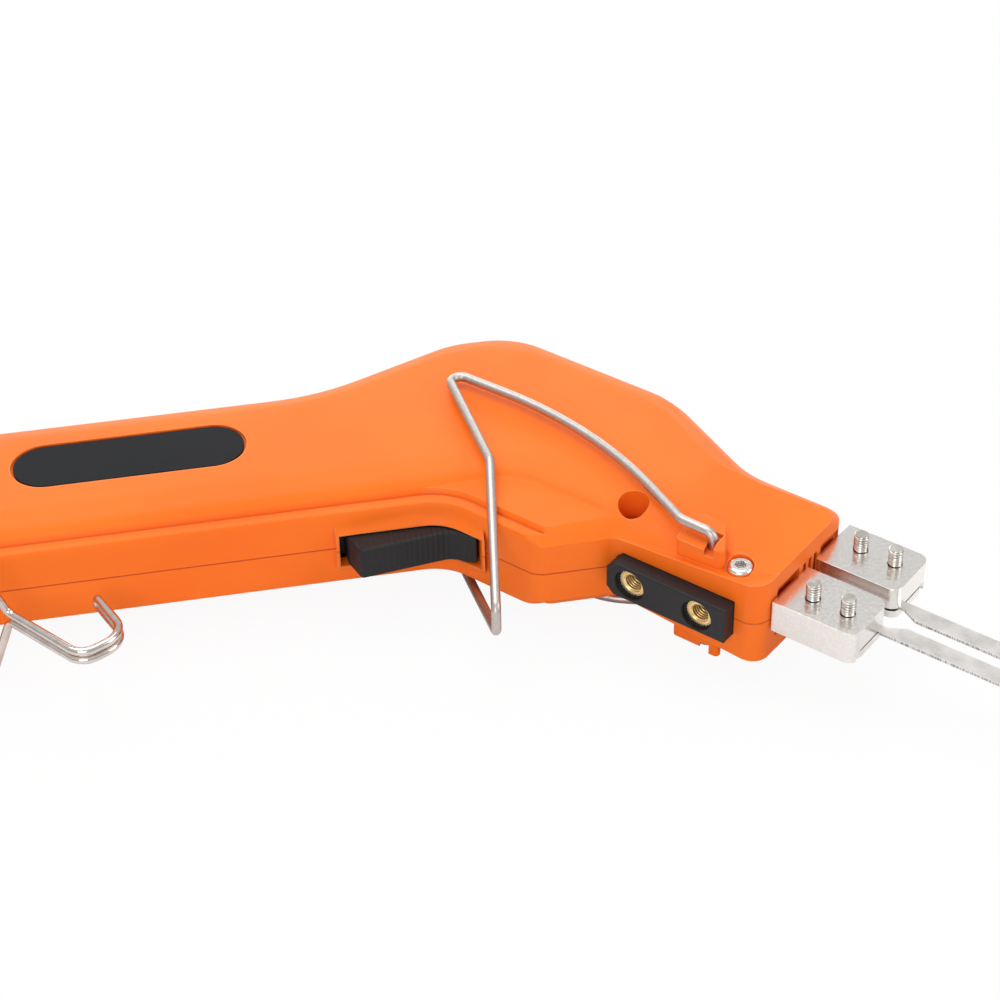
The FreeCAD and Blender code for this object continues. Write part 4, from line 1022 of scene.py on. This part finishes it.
@dataclass(frozen=True)
class PowerUnit:
    """Laminated core, wound primary, former, copper turn and the insulator in the nose."""

    workshop: Workshop
    sheet_pitch: float = 0.5
    sheet_share: float = 0.93
    sheets: int = 28
    coil_start: float = -88.6
    coil_end: float = -67.4
    coil_across: float = 11.1
    coil_height: float = 10.1
    wire_radius: float = 0.3
    turn_pitch: float = 2.06
    squareness: float = 7.0

    def laminations(self) -> None:
        """Stack one thin sheet of the core's own outline."""
        shop = self.workshop
        shape = shop.merged("transformer_core")
        low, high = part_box("transformer_core")
        for vertex in shape.verts:
            share = (vertex.co.z - low.z) / (high.z - low.z)
            vertex.co.z = low.z + share * self.sheet_pitch * self.sheet_share * MM
        sheet = bpy.data.meshes.new("core_sheet")
        shape.to_mesh(sheet)
        shape.free()
        form = FormGraph("core_stack", Sheets=self.sheets, Pitch=self.sheet_pitch * MM)
        rise = form.gather(0.0, 0.0, form.given("Pitch"))
        line = form.add("GeometryNodeMeshLine", {"mode": "OFFSET"}, {
            "Count": form.given("Sheets"), "Offset": rise})
        stack = form.add("GeometryNodeInstanceOnPoints", {}, {
            "Points": line.outputs[0], "Instance": form.start.outputs["Geometry"]})
        form.finish(stack.outputs[0])
        shop.add("core_laminations", form.bake(sheet, shop.finishes.core), "transformer_core",
                 replaces=True)

    def primary(self) -> None:
        """Wind the outer layer of enamelled wire round the former."""
        shop = self.workshop
        length = self.coil_end - self.coil_start
        turns = length / (self.turn_pitch * self.wire_radius)
        form = FormGraph("primary_coil", Turns=turns, Length=length, Across=self.coil_across,
                         Height=self.coil_height, Wire=self.wire_radius,
                         Squareness=self.squareness)
        spiral = form.add("GeometryNodeCurveSpiral", {}, {
            "Resolution": 40, "Rotations": form.given("Turns"), "Start Radius": 1.0,
            "End Radius": 1.0, "Height": form.given("Length")})
        x, y, z = form.split(form.add("GeometryNodeInputPosition").outputs[0])
        power = form.given("Squareness")
        wide = abs(x / form.given("Across")) ** power
        tall = abs(y / form.given("Height")) ** power
        reach = (wide + tall) ** (-1.0 / power)
        square = form.add("GeometryNodeSetPosition", {}, {
            "Geometry": spiral.outputs[0],
            "Position": form.gather(x * reach, y * reach, z)})
        section = form.add("GeometryNodeCurvePrimitiveCircle", {"mode": "RADIUS"},
                           {"Resolution": 6, "Radius": form.given("Wire")})
        wound = form.add("GeometryNodeCurveToMesh", {}, {
            "Curve": square.outputs[0], "Profile Curve": section.outputs[0],
            "Fill Caps": True})
        form.finish(wound.outputs[0])
        coil = form.bake(point_mesh("coil_seed", [(0.0, 0.0, 0.0)]), shop.finishes.enamel)
        along, across = shop.frames.head_axes()
        coil.transform(shop.frames.seat(shop.frames.head(self.coil_start, 0), across, along))
        coil.shade_smooth()
        shop.add("primary_wire", coil, "primary_winding", replaces=True)

    def build(self) -> None:
        """Build the unit."""
        shop = self.workshop
        self.laminations()
        self.primary()
        shop.refine("coil_former", shop.finishes.natural)
        shop.refine("secondary_winding", shop.finishes.copper)
        shop.refine("front_insulator", shop.finishes.ceramic)


@dataclass(frozen=True)
class CableEntry:
    """The inlet bush, cord clamp, terminal block and leads."""

    workshop: Workshop

    def build(self) -> None:
        """Smooth and dress the entry."""
        shop = self.workshop
        shop.refine("cable_inlet_bush", shop.finishes.rubber)
        shop.refine("cord_clamp", shop.finishes.black)
        shop.refine("cord_clamp_base", shop.finishes.black)
        shop.refine("cord_clamp_screws", shop.finishes.nickel)
        shop.refine("terminal_block", shop.finishes.natural)
        shop.refine("internal_leads", shop.finishes.jacket, WIRE_LIMIT_DEGREES)


# Studio

@dataclass(frozen=True)
class StudioCamera:
    """The photograph's viewpoint, in the handle frame."""

    place_mm: tuple[float, float, float] = (43.64, -489.27, 394.1)
    forward: tuple[float, float, float] = (0.1355, 0.7786, -0.6128)
    roll_degrees: float = -1.18
    focal_mm: float = 87.79
    sensor_mm: float = 36.0

    def make(self, frames: WorkFrames) -> bpy.types.Object:
        """Create the camera and make it the scene's own.

        Args:
            frames: the working frames.

        Returns:
            The camera object.
        """
        data = bpy.data.cameras.new("studio_camera")
        data.lens = self.focal_mm
        data.sensor_width = self.sensor_mm
        data.sensor_fit = "HORIZONTAL"
        camera = bpy.data.objects.new("studio_camera", data)
        bpy.context.scene.collection.objects.link(camera)
        forward = Vector(self.forward).normalized()
        level = forward.cross(Vector((0.0, 0.0, 1.0))).normalized()
        above = level.cross(forward)
        roll = math.radians(self.roll_degrees)
        right = level * math.cos(roll) + above * math.sin(roll)
        up = above * math.cos(roll) - level * math.sin(roll)
        matrix = Matrix((right, up, -forward)).transposed().to_4x4()
        matrix.translation = frames.handle(*self.place_mm)
        camera.matrix_world = matrix
        bpy.context.scene.camera = camera
        return camera


@dataclass(frozen=True)
class Softbox:
    """A rectangular area lamp aimed at a point of the tool."""

    name: str
    place_mm: tuple[float, float, float]
    size_mm: tuple[float, float]
    watts: float
    aim_mm: tuple[float, float, float] = (110.0, 0.0, 0.0)

    def make(self, frames: WorkFrames) -> None:
        """Create the lamp.

        Args:
            frames: the working frames.
        """
        data = bpy.data.lights.new(self.name, "AREA")
        data.shape = "RECTANGLE"
        data.size = self.size_mm[0] * MM
        data.size_y = self.size_mm[1] * MM
        data.energy = self.watts
        lamp = bpy.data.objects.new(self.name, data)
        bpy.context.scene.collection.objects.link(lamp)
        lamp.location = frames.handle(*self.place_mm)
        away = lamp.location - frames.handle(*self.aim_mm)
        lamp.rotation_euler = away.to_track_quat("Z", "Y").to_euler()


@dataclass
class Studio:
    """Floor, lamps, world and camera."""

    frames: WorkFrames
    floor_half_m: float = 3.0
    floor_drop_mm: float = 0.2
    floor_white: float = 0.8
    floor_glow: float = 0.93
    sky_low: float = 0.42
    sky_high: float = 0.76

    def floor(self) -> None:
        """A pale floor that shows white to the camera and keeps a faint shadow of the tool."""
        mesh = bpy.data.meshes.new("studio_floor")
        half = self.floor_half_m
        mesh.from_pydata([(-half, -half, 0), (half, -half, 0), (half, half, 0), (-half, half, 0)],
                         [], [(0, 1, 2, 3)])
        floor = bpy.data.objects.new("studio_floor", mesh)
        bpy.context.scene.collection.objects.link(floor)
        floor.location.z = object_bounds()[0][2] - self.floor_drop_mm * MM
        graph = SurfaceGraph("studio_floor")
        white = (self.floor_white,) * 3 + (1.0,)
        diffuse = graph.add("ShaderNodeBsdfDiffuse", {}, {"Color": white})
        glow = graph.add("ShaderNodeEmission", {}, {"Color": (1.0, 1.0, 1.0, 1.0)})
        seen = Channel(graph, graph.add("ShaderNodeLightPath").outputs["Is Camera Ray"])
        mix = graph.add("ShaderNodeMixShader", {}, {
            0: seen * self.floor_glow, 1: diffuse.outputs[0], 2: glow.outputs[0]})
        graph.tree.links.new(mix.outputs[0], graph.output.inputs["Surface"])
        floor.data.materials.append(graph.material)
        floor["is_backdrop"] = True

    def world(self) -> None:
        """Soft light from all round, brighter overhead, and white behind the tool."""
        world = bpy.data.worlds.new("studio_world")
        world.use_nodes = True
        graph = Graph(world.node_tree)
        graph.tree.nodes.clear()
        way = graph.add("ShaderNodeTexCoord").outputs["Generated"]
        height = graph.split(way)[2]
        light = self.sky_low + height.limit(0.0, 1.0) * (self.sky_high - self.sky_low)
        seen = Channel(graph, graph.add("ShaderNodeLightPath").outputs["Is Camera Ray"])
        strength = light * (1.0 - seen) + seen
        sky = graph.add("ShaderNodeBackground", {}, {
            "Color": (1.0, 1.0, 1.0, 1.0), "Strength": strength})
        output = graph.add("ShaderNodeOutputWorld")
        graph.tree.links.new(sky.outputs[0], output.inputs["Surface"])
        bpy.context.scene.world = world

    def make(self) -> None:
        """Build the whole studio."""
        self.floor()
        self.world()
        lamps = [
            Softbox("key_box", (40.0, 220.0, 900.0), (900.0, 600.0), 4.0),
            Softbox("rim_box", (160.0, 900.0, 260.0), (1000.0, 300.0), 3.0),
            Softbox("front_box", (-250.0, -900.0, 500.0), (600.0, 600.0), 3.1),
            Softbox("side_box", (900.0, -300.0, 450.0), (500.0, 500.0), 2.0),
        ]
        for lamp in lamps:
            lamp.make(self.frames)
        StudioCamera().make(self.frames)
        bpy.context.scene.view_settings.view_transform = "Standard"


def main() -> None:
    """Load the frame, build each sub-assembly, then the studio."""
    logging.basicConfig(level=logging.INFO, format="%(message)s")
    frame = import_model()
    shop = Workshop(frame)
    for group in (Housing, HeatingHead, AccessoryMount, TriggerGroup, Wirework, PowerUnit,
                  CableEntry):
        group(shop).build()
    Studio(shop.frames).make()


if __name__ == "__main__":
    main()
